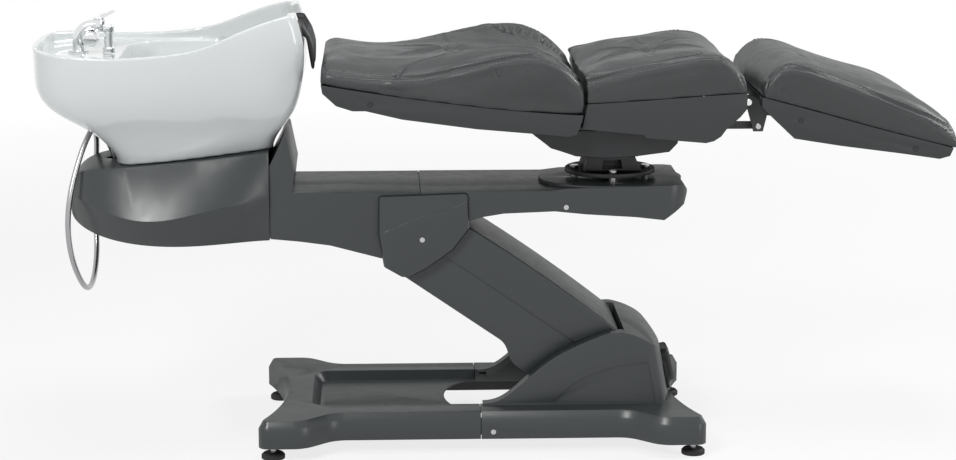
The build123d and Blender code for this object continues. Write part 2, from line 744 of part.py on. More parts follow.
# Lower arm cover: a trough that nests in the upper cover, with a dipped lower end
trough_top_rise = 84
trough_low_end = 52
trough_dip = 43
trough_dip_start = 212
trough_dip_end = 144
trough_high_end = 457
trough_side_end = 474
trough_edge_radius = 4
trough_slot_half_width = 86
trough_slot_end = 206


def trough_side(inset):
    with BuildSketch(Plane.XY) as side:
        with BuildLine():
            low_z = -trough_dip + inset
            Polyline((trough_low_end, trough_top_rise), (trough_low_end, low_z), (trough_dip_end, low_z))
            Spline(
                (trough_dip_end, low_z),
                (trough_dip_start, trough_floor_rise + inset),
                tangents=((1, 0), (1, 0)),
            )
            Polyline(
                (trough_dip_start, trough_floor_rise + inset),
                (trough_high_end, trough_floor_rise + inset),
                (trough_side_end, 0),
                (trough_side_end, trough_top_rise),
                (trough_low_end, trough_top_rise),
            )
        make_face()
    return side.sketch


with BuildPart() as arm_lower_cover:
    outer = link_plane.offset(-lower_cover_outer_y) * trough_side(0)
    extrude(outer, amount=2 * lower_cover_outer_y, dir=(0, 1, 0))
    inner = link_plane.offset(-lower_cover_inner_y) * trough_side(lower_cover_wall)
    extrude(inner, amount=2 * lower_cover_inner_y, dir=(0, 1, 0), mode=Mode.SUBTRACT)
    # Open at both ends and along the top, and slotted where the actuator passes
    with BuildSketch(link_plane.offset(-lower_cover_inner_y)) as ends:
        with Locations((trough_high_end, trough_floor_rise)):
            Rectangle(arm_length, 2 * trough_top_rise, align=(Align.MIN, Align.CENTER))
    extrude(amount=2 * lower_cover_inner_y, mode=Mode.SUBTRACT)
    with BuildSketch(link_plane.offset(-trough_slot_half_width)) as slot:
        with Locations((trough_slot_end, 0)):
            Rectangle(arm_length, 2 * trough_dip + overrun, align=(Align.MAX, Align.CENTER))
    extrude(amount=2 * trough_slot_half_width, mode=Mode.SUBTRACT)
    with BuildSketch(link_plane.offset(-lower_cover_outer_y - overrun)) as low_top:
        with Locations((trough_low_end, trough_top_rise)):
            Rectangle(arm_length * 2, overrun, align=(Align.CENTER, Align.CENTER))
    extrude(amount=2 * (lower_cover_outer_y + overrun), mode=Mode.SUBTRACT)
arm_lower_cover.part.label = "arm_lower_cover"
export_step(arm_lower_cover.part, "parts/arm_lower_cover.step")

# Lift actuator: a tube with its motor alongside, and a rod that pulls in as the arm sinks
actuator_length = hypot(arm_pin_x - actuator_pin_x, arm_pin_z - actuator_pin_z)
actuator_run = Vector((arm_pin_x - actuator_pin_x) / actuator_length, 0, (arm_pin_z - actuator_pin_z) / actuator_length)
actuator_plane = Plane(origin=(actuator_pin_x, 0, actuator_pin_z), x_dir=(0, 1, 0), z_dir=actuator_run)
actuator_tube_radius = 20
actuator_tube_end = 240
actuator_collar_radius = 23
actuator_collar_length = 14
actuator_rod_radius = 11
actuator_rod_start = 150
actuator_eye_radius = 15
actuator_eye_bore = 9
actuator_eye_half_width = 22
gearbox_start = 9
gearbox_end = 40
gearbox_width = 90
gearbox_depth = 48
motor_radius = 19
motor_y = 43
motor_end = 150
actuator_lug_radius = 12
actuator_lug_half_width = 10


def along_actuator(start, end, radius, across=0, mode=Mode.ADD):
    with BuildSketch(actuator_plane.offset(start)) as disc:
        with Locations((across, 0)):
            Circle(radius)
    extrude(disc.sketch, amount=end - start, dir=actuator_run, mode=mode)


with BuildPart() as actuator_body:
    along_actuator(gearbox_start, actuator_tube_end, actuator_tube_radius)
    along_actuator(actuator_tube_end - actuator_collar_length, actuator_tube_end, actuator_collar_radius)
    along_actuator(gearbox_end, motor_end, motor_radius, motor_y)
    with BuildSketch(actuator_plane.offset(gearbox_start)) as gearbox:
        with Locations((motor_y / 2, 0)):
            RectangleRounded(gearbox_width, gearbox_depth, actuator_lug_radius)
    extrude(gearbox.sketch, amount=gearbox_end - gearbox_start, dir=actuator_run)
    cross_pin(actuator_pin_x, actuator_pin_z, actuator_lug_radius, actuator_lug_half_width)
    along_actuator(gearbox_end, actuator_tube_end + overrun, actuator_rod_radius + running_gap, 0, Mode.SUBTRACT)
    cross_pin(actuator_pin_x, actuator_pin_z, actuator_pin_radius + running_gap, gearbox_width, Mode.SUBTRACT)
actuator_body.part.label = "actuator_body"
export_step(actuator_body.part, "parts/actuator_body.step")

with BuildPart() as actuator_rod:
    along_actuator(actuator_rod_start, actuator_length, actuator_rod_radius)
    cross_pin(arm_pin_x, arm_pin_z, actuator_eye_radius, actuator_eye_half_width)
    cross_pin(arm_pin_x, arm_pin_z, actuator_eye_bore, 2 * actuator_eye_half_width, Mode.SUBTRACT)
actuator_rod.part.label = "actuator_rod"
export_step(actuator_rod.part, "parts/actuator_rod.step")

# Boom frame: two long tubes, plates down to the arm and link pivots, and the bowl's posts
boom_tube_left_x = -745
boom_tube_right_x = 372
boom_tube_top_z = boom_top_z - cover_wall
boom_tube_mid_z = boom_tube_top_z - boom_tube_height / 2
boom_tube_y = bracket_outer_y + boom_tube_width / 2
boom_plate_radius = 26
boom_link_radius = 20
boom_plate_reach = 66
post_size = 26
post_front_x = -726
post_rear_x = -532
mount_plate_length = 200
mount_plate_thickness = 6

# The bowl's foot lies on a plane that rises towards the neck
pedestal_top_left_x = -840
pedestal_top_left_z = 604
pedestal_top_right_x = -480
pedestal_top_right_z = 639
pedestal_rise = (pedestal_top_right_z - pedestal_top_left_z) / (pedestal_top_right_x - pedestal_top_left_x)
bowl_foot_gap = 1
bowl_foot_origin = (pedestal_top_left_x, 0, pedestal_top_left_z + bowl_foot_gap)
bowl_foot_plane = Plane(origin=bowl_foot_origin, x_dir=(1, 0, pedestal_rise), z_dir=(-pedestal_rise, 0, 1))

with BuildSketch(Plane.XZ) as boom_plate:
    make_hull(
        [
            Edge.make_circle(boom_plate_radius, Plane((boom_pivot_x, boom_pivot_z, 0))),
            Edge.make_circle(boom_link_radius, Plane((boom_link_x, boom_link_z, 0))),
            Edge.make_line(
                (boom_link_x - boom_link_radius, boom_tube_mid_z, 0),
                (boom_pivot_x + boom_plate_reach, boom_tube_mid_z, 0),
            ),
        ]
    )
    with Locations((boom_pivot_x, boom_pivot_z)):
        Circle(pivot_radius + running_gap, mode=Mode.SUBTRACT)
    with Locations((boom_link_x, boom_link_z)):
        Circle(pin_radius + running_gap, mode=Mode.SUBTRACT)

with BuildPart() as boom_frame:
    tube_mid_x = (boom_tube_left_x + boom_tube_right_x) / 2
    tube_run = boom_tube_right_x - boom_tube_left_x
    tube_spots = [(tube_mid_x, boom_tube_y, boom_tube_mid_z), (tube_mid_x, -boom_tube_y, boom_tube_mid_z)]
    with Locations(*tube_spots):
        Box(tube_run, boom_tube_width, boom_tube_height)
    for cross_x in (boom_tube_left_x, post_rear_x, boom_seam_x - boom_plate_reach, boom_tube_right_x):
        inward = boom_tube_height / 2 if cross_x < 0 else -boom_tube_height / 2
        with Locations((cross_x + inward, 0, boom_tube_mid_z)):
            Box(boom_tube_height, 2 * boom_tube_y, boom_tube_height)
    with Locations((seat_mount_x, 0, boom_tube_top_z)):
        Box(
            mount_plate_length,
            2 * bracket_outer_y + tube_wall,
            mount_plate_thickness,
            align=(Align.CENTER, Align.CENTER, Align.MAX),
        )
    # Posts up to the bowl's foot
    for post_x in (post_front_x, post_rear_x):
        with Locations((post_x, boom_tube_y, boom_tube_mid_z), (post_x, -boom_tube_y, boom_tube_mid_z)):
            Box(post_size, post_size, pedestal_top_right_z - boom_tube_mid_z + overrun, align=(Align.CENTER, Align.CENTER, Align.MIN))
    with BuildSketch(bowl_foot_plane) as above_foot:
        Rectangle(-2 * pedestal_top_left_x, 4 * boom_half_width)
    extrude(amount=2 * overrun + post_size, mode=Mode.SUBTRACT)
    with Locations(*tube_spots):
        Box(tube_run + overrun, boom_tube_width - 2 * tube_wall, boom_tube_height - 2 * tube_wall, mode=Mode.SUBTRACT)
    plate_pair(boom_plate, bracket_inner_y, plate_thickness)
boom_frame.part.label = "boom_frame"
export_step(boom_frame.part, "parts/boom_frame.step")

with BuildPart() as upper_pivot_shaft:
    cross_pin(boom_pivot_x, boom_pivot_z, pivot_radius, arm_outer_y + link_gap)
    chamfer(upper_pivot_shaft.edges().filter_by(GeomType.CIRCLE), link_gap / 2)
upper_pivot_shaft.part.label = "upper_pivot_shaft"
export_step(upper_pivot_shaft.part, "parts/upper_pivot_shaft.step")

with BuildPart() as upper_link_pins:
    pin_pair(boom_link_x, boom_link_z, pin_radius, bracket_inner_y - link_gap, link_outer_y + link_gap)
    chamfer(upper_link_pins.edges().filter_by(GeomType.CIRCLE), link_gap / 2)
upper_link_pins.part.label = "upper_link_pins"
export_step(upper_link_pins.part, "parts/upper_link_pins.step")

# Bowl pedestal and left half of the boom: creased sections swept along the bed, with a
# collar that rises behind the bowl. Each station gives X, then the half-width and height
# of the crease, of the top and of the underside.
pedestal_stations = [
    (-906, 60, 528, 42, 556, 38, 500),
    (-890, 108, 541, 84, 587, 82, 484),
    (-840, 168, 530, 128, 604, 138, 465),
    (-760, 207, 509, 148, 612, 174, 451),
    (-650, 212, 516, 150, 622, 180, 446),
    (-560, 190, 533, 150, 631, 160, 448),
    (-476, 145, 547, 138, 639, 138, 450),
]
collar_points = [
    (-500, 560),
    (-474, 452),
    (-412, 446),
    (-347, 437),
    (-238, 408),
    (-154, 420),
    (-154, 552),
    (-427, 552),
    (-422, 592),
    (-437, 668),
    (-443, 677),
    (-459, 640),
]
collar_half_width = 135
boom_opening_left_x = -266
pedestal_opening_left_x = -764
pedestal_opening_right_x = -496
pedestal_opening_half_width = 112
pedestal_opening_corner = 30
underside_hatch_x = -640
underside_hatch_length = 150
underside_hatch_width = 110
supply_hole_x = -815
supply_hole_y = 21
supply_hole_radius = 19
inlet_nipple_x = -812
inlet_nipple_ys = (10, 34)
inlet_nipple_top_z = 500
inlet_nipple_low_z = 438
inlet_nipple_radius = 6
inlet_nipple_length = 18
inlet_shank_radius = 5
inlet_nut_radius = 10.5
inlet_nut_height = 8
inlet_nut_z = 470


def section_face(x, points):
    with BuildSketch(Plane.YZ.offset(x)) as section:
        Polygon(*points, align=None)
    return section.sketch


def pedestal_solid(inset):
    faces = []
    for x, crease_y, crease_z, top_y, top_z, low_y, low_z in pedestal_stations:
        half = [(low_y - inset, low_z + inset), (crease_y - inset, crease_z), (top_y - inset, top_z - inset)]
        mirrored = [(-y, z) for y, z in reversed(half)]
        faces.append(section_face(x, half + mirrored))
    return loft(faces)


def collar_sketch(inset):
    with BuildSketch(Plane.XZ) as collar:
        Polygon(*collar_points, align=None)
        if inset:
            offset(amount=-inset, kind=Kind.INTERSECTION, mode=Mode.REPLACE)
    return collar.sketch


with BuildPart() as pedestal_hollow:
    add(pedestal_solid(cover_wall))
    split(bisect_by=Plane.YZ.offset(pedestal_stations[0][0] + cover_wall), keep=Keep.TOP)

with BuildPart() as bowl_pedestal_cover:
    add(pedestal_solid(0))
    extrude(collar_sketch(0), amount=collar_half_width, both=True)
    split(bisect_by=Plane.YZ.offset(boom_seam_x - seam_gap / 2), keep=Keep.BOTTOM)
    add(pedestal_hollow.part, mode=Mode.SUBTRACT)
    extrude(collar_sketch(cover_wall), amount=collar_half_width - cover_wall, both=True, mode=Mode.SUBTRACT)
    # Open at the seam, and below where the arm comes in
    with Locations((boom_opening_left_x, 0, boom_top_z - cover_wall)):
        Box(
            -2 * boom_opening_left_x,
            2 * (collar_half_width - cover_wall),
            boom_top_z,
            align=(Align.MIN, Align.CENTER, Align.MAX),
            mode=Mode.SUBTRACT,
        )
    # An opening under the bowl for its posts and pipes, and a hatch in the underside
    with BuildSketch(Plane.XY.offset(boom_top_z)) as opening:
        with Locations(((pedestal_opening_left_x + pedestal_opening_right_x) / 2, 0)):
            RectangleRounded(
                pedestal_opening_right_x - pedestal_opening_left_x,
                2 * pedestal_opening_half_width,
                pedestal_opening_corner,
            )
        with Locations((supply_hole_x, supply_hole_y)):
            Circle(supply_hole_radius)
    extrude(amount=boom_top_z / 2, mode=Mode.SUBTRACT)
    with BuildSketch(Plane.XY.offset(boom_top_z - cover_wall)) as hatch:
        with Locations((underside_hatch_x, 0)):
            RectangleRounded(underside_hatch_length, underside_hatch_width, pedestal_opening_corner / 2)
    extrude(amount=-boom_top_z / 2, mode=Mode.SUBTRACT)
    for nipple_y in inlet_nipple_ys:
        with Locations((inlet_nipple_x, nipple_y, inlet_nipple_low_z)):
            Cylinder(inlet_shank_radius + running_gap, frame_tube * 2, mode=Mode.SUBTRACT)
bowl_pedestal_cover.part.label = "bowl_pedestal_cover"
export_step(bowl_pedestal_cover.part, "parts/bowl_pedestal_cover.step")

# Seat half of the boom: a wedge-nosed shell with an oval pad under the seat's mount
nose_top_z = 557
nose_points = [
    (-154, 420),
    (-48, 489),
    (-20, 497),
    (24, 504),
    (133, 508),
    (200, 501),
    (308, 494),
    (368, 487),
    (412, 519),
    (421, 547),
    (411, 563),
    (160, 557),
    (120, 552),
    (-154, 552),
]
nose_crease_shares = [(0, 0.02), (0.28, 0.32), (0.56, 0.62), (0.76, 0.66), (1, 0.3)]
nose_plan_corner = 46
arm_nest_right_x = 68
pad_length = 312
pad_width = 268
pad_height = 4
mount_stud_circle = 78
mount_stud_radius = 8
mount_stud_count = 4


def nose_sketch(inset):
    with BuildSketch(Plane.XZ) as nose:
        Polygon(*nose_points, align=None)
        if inset:
            offset(amount=-inset, kind=Kind.INTERSECTION, mode=Mode.REPLACE)
    return nose.sketch


def nose_plan(inset):
    with BuildSketch(Plane.XY) as plan:
        run = nose_points[9][0] - boom_seam_x
        with Locations((boom_seam_x, 0)):
            Rectangle(run - inset, 2 * (boom_half_width - inset), align=(Align.MIN, Align.CENTER))
        fillet(plan.vertices().group_by(Axis.X)[-1], nose_plan_corner - inset)
    return plan.sketch


with BuildPart() as nose_hollow:
    extrude(nose_sketch(cover_wall), amount=boom_half_width, both=True)
    extrude(nose_plan(cover_wall), amount=2 * boom_top_z, mode=Mode.INTERSECT)

with BuildPart() as seat_boom_cover:
    extrude(nose_sketch(0), amount=boom_half_width, both=True)
    extrude(nose_plan(0), amount=2 * boom_top_z, mode=Mode.INTERSECT)
    with BuildSketch(Plane.XY.offset(nose_top_z - cover_wall)) as pad:
        with Locations((seat_mount_x, 0)):
            SlotOverall(pad_length, pad_width)
    extrude(amount=pad_height + cover_wall)
    split(bisect_by=Plane.YZ.offset(boom_seam_x + seam_gap / 2), keep=Keep.TOP)
    add(nose_hollow.part, mode=Mode.SUBTRACT)
    with Locations((seat_mount_x, 0, nose_top_z)):
        with PolarLocations(mount_stud_circle, mount_stud_count):
            Cylinder(mount_stud_radius + seat_gap, overrun, mode=Mode.SUBTRACT)
    # Open at the seam, and below where the arm nests when it is lowered
    with Locations((arm_nest_right_x, 0, boom_top_z - cover_wall)):
        Box(
            arm_nest_right_x - boom_opening_left_x,
            2 * (boom_half_width - cover_wall),
            boom_top_z,
            align=(Align.MAX, Align.CENTER, Align.MAX),
            mode=Mode.SUBTRACT,
        )
    screw_holes(boom_screw_x, boom_screw_z, boom_half_width)
seat_boom_cover.part.label = "seat_boom_cover"
export_step(seat_boom_cover.part, "parts/seat_boom_cover.step")

# Knuckle covers: a hollow cap over the pivots on each side, with a step along its crease
knuckle_inner_y = boom_half_width
knuckle_outer_y = 149
knuckle_wall = 3
knuckle_step = 2
knuckle_points = [
    (-244, 457),
    (-243, 545),
    (-53, 551),
    (-50, 474),
    (-85, 427),
    (-140, 388),
    (-178, 368),
    (-195, 369),
    (-233, 391),
]
knuckle_corner = 9
knuckle_crease = [(-264, 452), (-194, 484), (-129, 508), (-74, 525), (-33, 552)]

with BuildSketch(Plane.XZ) as knuckle_outline:
    Polygon(*knuckle_points, align=None)
    fillet(knuckle_outline.vertices(), knuckle_corner)

with BuildSketch(Plane.XZ) as above_crease:
    with BuildLine():
        crease = Spline(knuckle_crease)
        Polyline(crease @ 1, (knuckle_crease[-1][0], 2 * boom_top_z), (knuckle_crease[0][0], 2 * boom_top_z), crease @ 0)
    make_face()


def knuckle_cover(side):
    with BuildPart() as cover:
        plate = knuckle_outline.sketch.moved(Location((0, side * knuckle_inner_y, 0)))
        extrude(plate, amount=knuckle_outer_y - knuckle_inner_y, dir=(0, side, 0))
        outer_face = cover.faces().sort_by(Axis.Y)[-1 if side > 0 else 0]
        chamfer(outer_face.edges(), knuckle_wall, 2 * knuckle_wall, reference=outer_face)
        step = above_crease.sketch.moved(Location((0, side * (knuckle_outer_y - knuckle_step), 0)))
        extrude(step, amount=overrun, dir=(0, side, 0), mode=Mode.SUBTRACT)
        hollow = offset(knuckle_outline.sketch, amount=-2 * knuckle_wall, mode=Mode.PRIVATE)
        extrude(
            hollow.moved(Location((0, side * knuckle_inner_y, 0))),
            amount=knuckle_outer_y - knuckle_inner_y - knuckle_wall - knuckle_step,
            dir=(0, side, 0),
            mode=Mode.SUBTRACT,
        )
        screw_holes(knuckle_screw_x, knuckle_screw_z, knuckle_outer_y)
    return cover.part


with BuildPart() as knuckle_cover_near:
    add(knuckle_cover(-1))
knuckle_cover_near.part.label = "knuckle_cover_near"
export_step(knuckle_cover_near.part, "parts/knuckle_cover_near.step")

with BuildPart() as knuckle_cover_far:
    add(knuckle_cover(1))
knuckle_cover_far.part.label = "knuckle_cover_far"
export_step(knuckle_cover_far.part, "parts/knuckle_cover_far.step")

# Seat mount: a disc held off the boom by four studs, with a riser on it
disc_radius = 98
disc_bottom_z = 572
disc_thickness = 9
stud_head_radius = 9
stud_head_height = 5
disc_hole_circle = 84
disc_hole_radius = 3.5
riser_points = [(199, 581), (325, 581), (312, 612), (209, 612)]
riser_half_width = 60
riser_window = [(240, 587), (284, 587), (280, 606), (244, 606)]

with BuildPart() as mount_disc:
    with Locations((seat_mount_x, 0, disc_bottom_z)):
        Cylinder(disc_radius, disc_thickness, align=(Align.CENTER, Align.CENTER, Align.MIN))
    chamfer(mount_disc.edges().filter_by(GeomType.CIRCLE).group_by(Axis.Z)[-1], cover_wall / 4)
    with Locations((seat_mount_x, 0, disc_bottom_z)):
        with PolarLocations(mount_stud_circle, mount_stud_count):
            Cylinder(mount_stud_radius / 2 + running_gap, 2 * disc_thickness, mode=Mode.SUBTRACT)
        with PolarLocations(disc_hole_circle, mount_stud_count, start_angle=45):
            Cylinder(disc_hole_radius, 2 * disc_thickness, mode=Mode.SUBTRACT)
mount_disc.part.label = "mount_disc"
export_step(mount_disc.part, "parts/mount_disc.step")

with BuildPart() as mount_studs:
    with Locations((seat_mount_x, 0, 0)):
        with PolarLocations(mount_stud_circle, mount_stud_count):
            with Locations((0, 0, boom_tube_top_z)):
                Cylinder(mount_stud_radius, disc_bottom_z - boom_tube_top_z, align=(Align.CENTER, Align.CENTER, Align.MIN))
            with Locations((0, 0, disc_bottom_z)):
                Cylinder(mount_stud_radius / 2, disc_thickness + stud_head_height, align=(Align.CENTER, Align.CENTER, Align.MIN))
            with Locations((0, 0, disc_bottom_z + disc_thickness)):
                Cylinder(stud_head_radius, stud_head_height, align=(Align.CENTER, Align.CENTER, Align.MIN))
mount_studs.part.label = "mount_studs"
export_step(mount_studs.part, "parts/mount_studs.step")

with BuildPart() as riser_bracket:
    with BuildSketch(Plane.XZ) as riser:
        Polygon(*riser_points, align=None)
        Polygon(*riser_window, align=None, mode=Mode.SUBTRACT)
    extrude(amount=riser_half_width, both=True)
riser_bracket.part.label = "riser_bracket"
export_step(riser_bracket.part, "parts/riser_bracket.step")

# Mixer tap, spray and hoses on the bowl's deck
mixer_x = -885
spray_x = -817
spray_y = -30
mixer_shank_radius = 9
spray_shank_radius = 8
hose_radius = 6
supply_radius = 4
hose_room = 3
bowl_holes = [
    (mixer_x, 0, mixer_shank_radius + seat_gap),
    (spray_x, spray_y, spray_shank_radius + seat_gap),
]


# Hoses: straight runs joined by tangent arcs, each arc a fixed share of its shorter run
run_share = 0.45
mixer_manifold_radius = 19
mixer_manifold_height = 14
shank_bottom_z = 800
manifold_bottom_z = shank_bottom_z - mixer_manifold_height
hose_port_y = 9
supply_port_y = -8
supply_port_x = 6
shower_hose_points = [
    (spray_x, spray_y, shank_bottom_z),
    (spray_x, spray_y, 766),
    (-824, -36, 730),
    (-846, -54, 696),
    (-869, -78, 654),
    (-886, -104, 600),
    (-899, -124, 545),
    (-905, -132, 480),
    (-899, -126, 412),
    (-885, -84, 350),
    (-877, -14, 318),
    (-872, 62, 332),
    (-871, 122, 388),
    (-877, 144, 462),
    (-876, 146, 538),
    (-867, 132, 600),
    (-863, 96, 652),
    (-870, 56, 682),
    (-881, 24, 716),
    (mixer_x, hose_port_y, 752),
    (mixer_x, hose_port_y, manifold_bottom_z),
]
supply_hose_points = [
    [
        (mixer_x + supply_port_x, supply_port_y, manifold_bottom_z),
        (mixer_x + supply_port_x, supply_port_y, 756),
        (-866, -4, 722),
        (-844, 0, 690),
        (-824, 5, 648),
        (-813, 9, 600),
        (inlet_nipple_x, inlet_nipple_ys[0], 550),
        (inlet_nipple_x, inlet_nipple_ys[0], inlet_nipple_top_z),
    ],
    [
        (mixer_x - supply_port_x, supply_port_y, manifold_bottom_z),
        (mixer_x - supply_port_x, supply_port_y, 756),
        (-878, -6, 720),
        (-857, 4, 688),
        (-834, 18, 646),
        (-816, 30, 600),
        (inlet_nipple_x, inlet_nipple_ys[1], 550),
        (inlet_nipple_x, inlet_nipple_ys[1], inlet_nipple_top_z),
    ],
]


def hose_radii(points):
    radii = []
    for before, corner, after in zip(points, points[1:], points[2:]):
        run_in = Vector(*corner) - Vector(*before)
        run_out = Vector(*after) - Vector(*corner)
        half_turn = radians(run_in.get_angle(run_out)) / 2
        radii.append(run_share * min(run_in.length, run_out.length) / tan(half_turn))
    return radii


def hose_solid(points, radius):
    radii = hose_radii(points)
    with BuildPart() as hose:
        with BuildLine() as route:
            FilletPolyline(*points, radius=radii)
        start = Plane(origin=points[0], z_dir=Vector(*points[1]) - Vector(*points[0]))
        with BuildSketch(start) as ring:
            Circle(radius)
        path = route.wire()
        sweep(sections=ring.sketch, path=path)
    print("hose radius", radius, "least bend", round(min(radii)), "length", round(path.length))
    return hose.part


# Bowl: an outer shell, swept up through level outlines, with its basin, deck and cavity.
# A level gives its height, its left and right ends and its half-width.
bowl_outer_levels = [
    (596, -812, -472, 129),
    (640, -820, -469, 135),
    (684, -868, -449, 161),
    (728, -938, -420, 196),
    (772, -969, -406, 222),
    (816, -973, -399, 236),
    (860, -974, -398, 243),
    (904, -974, -406, 245),
    (948, -974, -420, 245),
]
basin_levels = [
    (690, -720, -548, 84),
    (712, -748, -500, 140),
    (756, -774, -456, 186),
    (800, -786, -440, 208),
    (842, -792, -436, 220),
]
cavity_levels = [
    (590, -798, -478, 114),
    (640, -806, -474, 116),
    (690, -850, -460, 142),
    (740, -925, -440, 176),
    (800, -950, -425, 208),
]
cavity_roof_levels = [
    (672, -736, -534, 98),
    (706, -764, -484, 156),
    (756, -792, -440, 202),
    (812, -806, -420, 228),
]
outline_shares = [(0, 0), (0.02, 0.6), (0.075, 0.9), (0.2, 1), (0.5, 0.99), (0.72, 0.88), (0.9, 0.76), (1, 0.68)]
outline_end_slope = -0.32
outline_corner = 26
room_shares = [(0, 0.62), (0.12, 0.97), (0.62, 0.97), (1, 0.68)]
room_corner = 36
bowl_wall = 13
deck_z = 838
deck_level = (deck_z, -961, -434, 232)
rim_line = [(-1100, 868), (-933, 862), (-829, 854), (-704, 857), (-603, 873), (-539, 898), (-475, 921), (-380, 934)]
rim_top_z = 1000
neck_dip_half_width = 98
neck_dip_z = 880
neck_dip_corner = 34
drain_x = -640
drain_radius = 24
drain_flange_radius = 31
drain_flange_height = 3
basin_floor_z = basin_levels[0][0]


def level_outline(level):
    z, left_x, right_x, half_width = level
    points = [(left_x + along * (right_x - left_x), out * half_width) for along, out in outline_shares]
    mirrored = [(x, -y) for x, y in points]
    with BuildSketch(Plane.XY.offset(z)) as outline:
        with BuildLine():
            Spline(points, tangents=((0, 1), (1, outline_end_slope)))
            Spline(mirrored, tangents=((0, -1), (1, -outline_end_slope)))
            Line(points[-1], mirrored[-1])
        make_face()
        fillet(outline.vertices().group_by(Axis.X)[-1], outline_corner)
    return outline.sketch


def room_outline(level):
    z, left_x, right_x, half_width = level
    points = [(left_x + along * (right_x - left_x), out * half_width) for along, out in room_shares]
    mirrored = [(x, -y) for x, y in reversed(points)]
    with BuildSketch(Plane.XY.offset(z)) as outline:
        Polygon(*points, *mirrored, align=None)
        fillet(outline.vertices(), room_corner)
    return outline.sketch


with BuildPart() as bowl_room:
    loft([room_outline(level) for level in basin_levels])
    extrude(room_outline(deck_level), amount=rim_top_z - deck_z)

with BuildPart() as bowl_cavity:
    loft([room_outline(level) for level in cavity_levels])
    loft([room_outline(level) for level in cavity_roof_levels], mode=Mode.SUBTRACT)
    # Ribs across the cavity stand on the boom frame's posts
    for post_x in (post_front_x, post_rear_x):
        with Locations((post_x, 0, basin_floor_z)):
            Box(post_size, 4 * boom_half_width, basin_floor_z / 2, mode=Mode.SUBTRACT)

with BuildSketch(Plane.XZ) as above_rim:
    with BuildLine():
        rim = Spline(rim_line)
        Polyline(rim @ 1, (rim_line[-1][0], rim_top_z), (rim_line[0][0], rim_top_z), rim @ 0)
    make_face()

with BuildPart() as bowl:
    loft([level_outline(level) for level in bowl_outer_levels])
    extrude(above_rim.sketch, amount=rim_top_z / 2, both=True, mode=Mode.SUBTRACT)
    add(bowl_room.part, mode=Mode.SUBTRACT)
    add(bowl_cavity.part, mode=Mode.SUBTRACT)
    with BuildSketch(bowl_foot_plane) as below_foot:
        Rectangle(-2 * pedestal_top_left_x, 4 * boom_half_width)
    extrude(below_foot.sketch, amount=-3 * post_size, mode=Mode.SUBTRACT)
    with BuildSketch(Plane.YZ.offset(deck_level[2] - 2 * bowl_wall)) as dip:
        with Locations((0, neck_dip_z)):
            Rectangle(2 * neck_dip_half_width, rim_top_z - neck_dip_z, align=(Align.CENTER, Align.MIN))
        fillet(dip.vertices().group_by(Axis.Y)[0], neck_dip_corner)
    extrude(dip.sketch, amount=6 * bowl_wall, mode=Mode.SUBTRACT)
    with Locations((drain_x, 0, basin_floor_z)):
        Cylinder(drain_radius, 4 * bowl_wall, mode=Mode.SUBTRACT)
    for hole_x, hole_y, hole_radius in bowl_holes:
        with Locations((hole_x, hole_y, shank_bottom_z - bowl_wall)):
            Cylinder(hole_radius, rim_top_z, align=(Align.CENTER, Align.CENTER, Align.MIN), mode=Mode.SUBTRACT)
    # Passages for the hoses through the underside
    add(hose_solid(shower_hose_points, hose_radius + hose_room), mode=Mode.SUBTRACT)
    for points in supply_hose_points:
        add(hose_solid(points, supply_radius + hose_room), mode=Mode.SUBTRACT)
bowl.part.label = "bowl"
export_step(bowl.part, "parts/bowl.step")

# Seats: the seam is where a cushion meets its shell, seen from the side
def under_seam(seam_points):
    # Everything below the seam, seen from the side
    with BuildSketch(Plane.XZ) as region:
        with BuildLine():
            seam = Spline(seam_points)
            low_z = min(z for _, z in seam_points) - seat_room
            Polyline(
                seam @ 1,
                (seam_points[-1][0] + seat_room, seam_points[-1][1]),
                (seam_points[-1][0] + seat_room, low_z),
                (seam_points[0][0] - seat_room, low_z),
                (seam_points[0][0] - seat_room, seam_points[0][1]),
                seam @ 0,
            )
        make_face()
    return region.sketch


def shell_side(points, inset=0):
    with BuildSketch(Plane.XZ) as side:
        Polygon(*points, align=None)
        if inset:
            offset(amount=-inset, kind=Kind.INTERSECTION, mode=Mode.REPLACE)
    return side.sketch


def cushion_solid(stations):
    # A station gives X, the half-width and height at the seam, the height of the side
    # stitch, the half-width and height of the crest, and the height on the middle line
    faces = []
    for x, side_y, seam_z, stitch_z, crest_y, crest_z, middle_z in stations:
        half = [
            (side_y, seam_z),
            (side_y + side_bulge, seam_z + side_share * (stitch_z - seam_z)),
            (side_y - side_bulge, stitch_z),
            (crest_y, crest_z),
            (inner_share * crest_y, middle_z + inner_rise_share * (crest_z - middle_z)),
        ]
        mirrored = [(-y, z) for y, z in reversed(half)]
        with BuildSketch(Plane.YZ.offset(x)) as section:
            with BuildLine():
                Spline(half + [(0, middle_z)] + mirrored)
                Line(mirrored[-1], half[0])
            make_face()
        faces.append(section.sketch)
    return loft(faces)


seat_room = 140
side_bulge = 3
side_share = 0.45
inner_share = 0.55
inner_rise_share = 0.35
shell_wall = 4
shell_rib_length = 8
shell_rib_half_width = 150

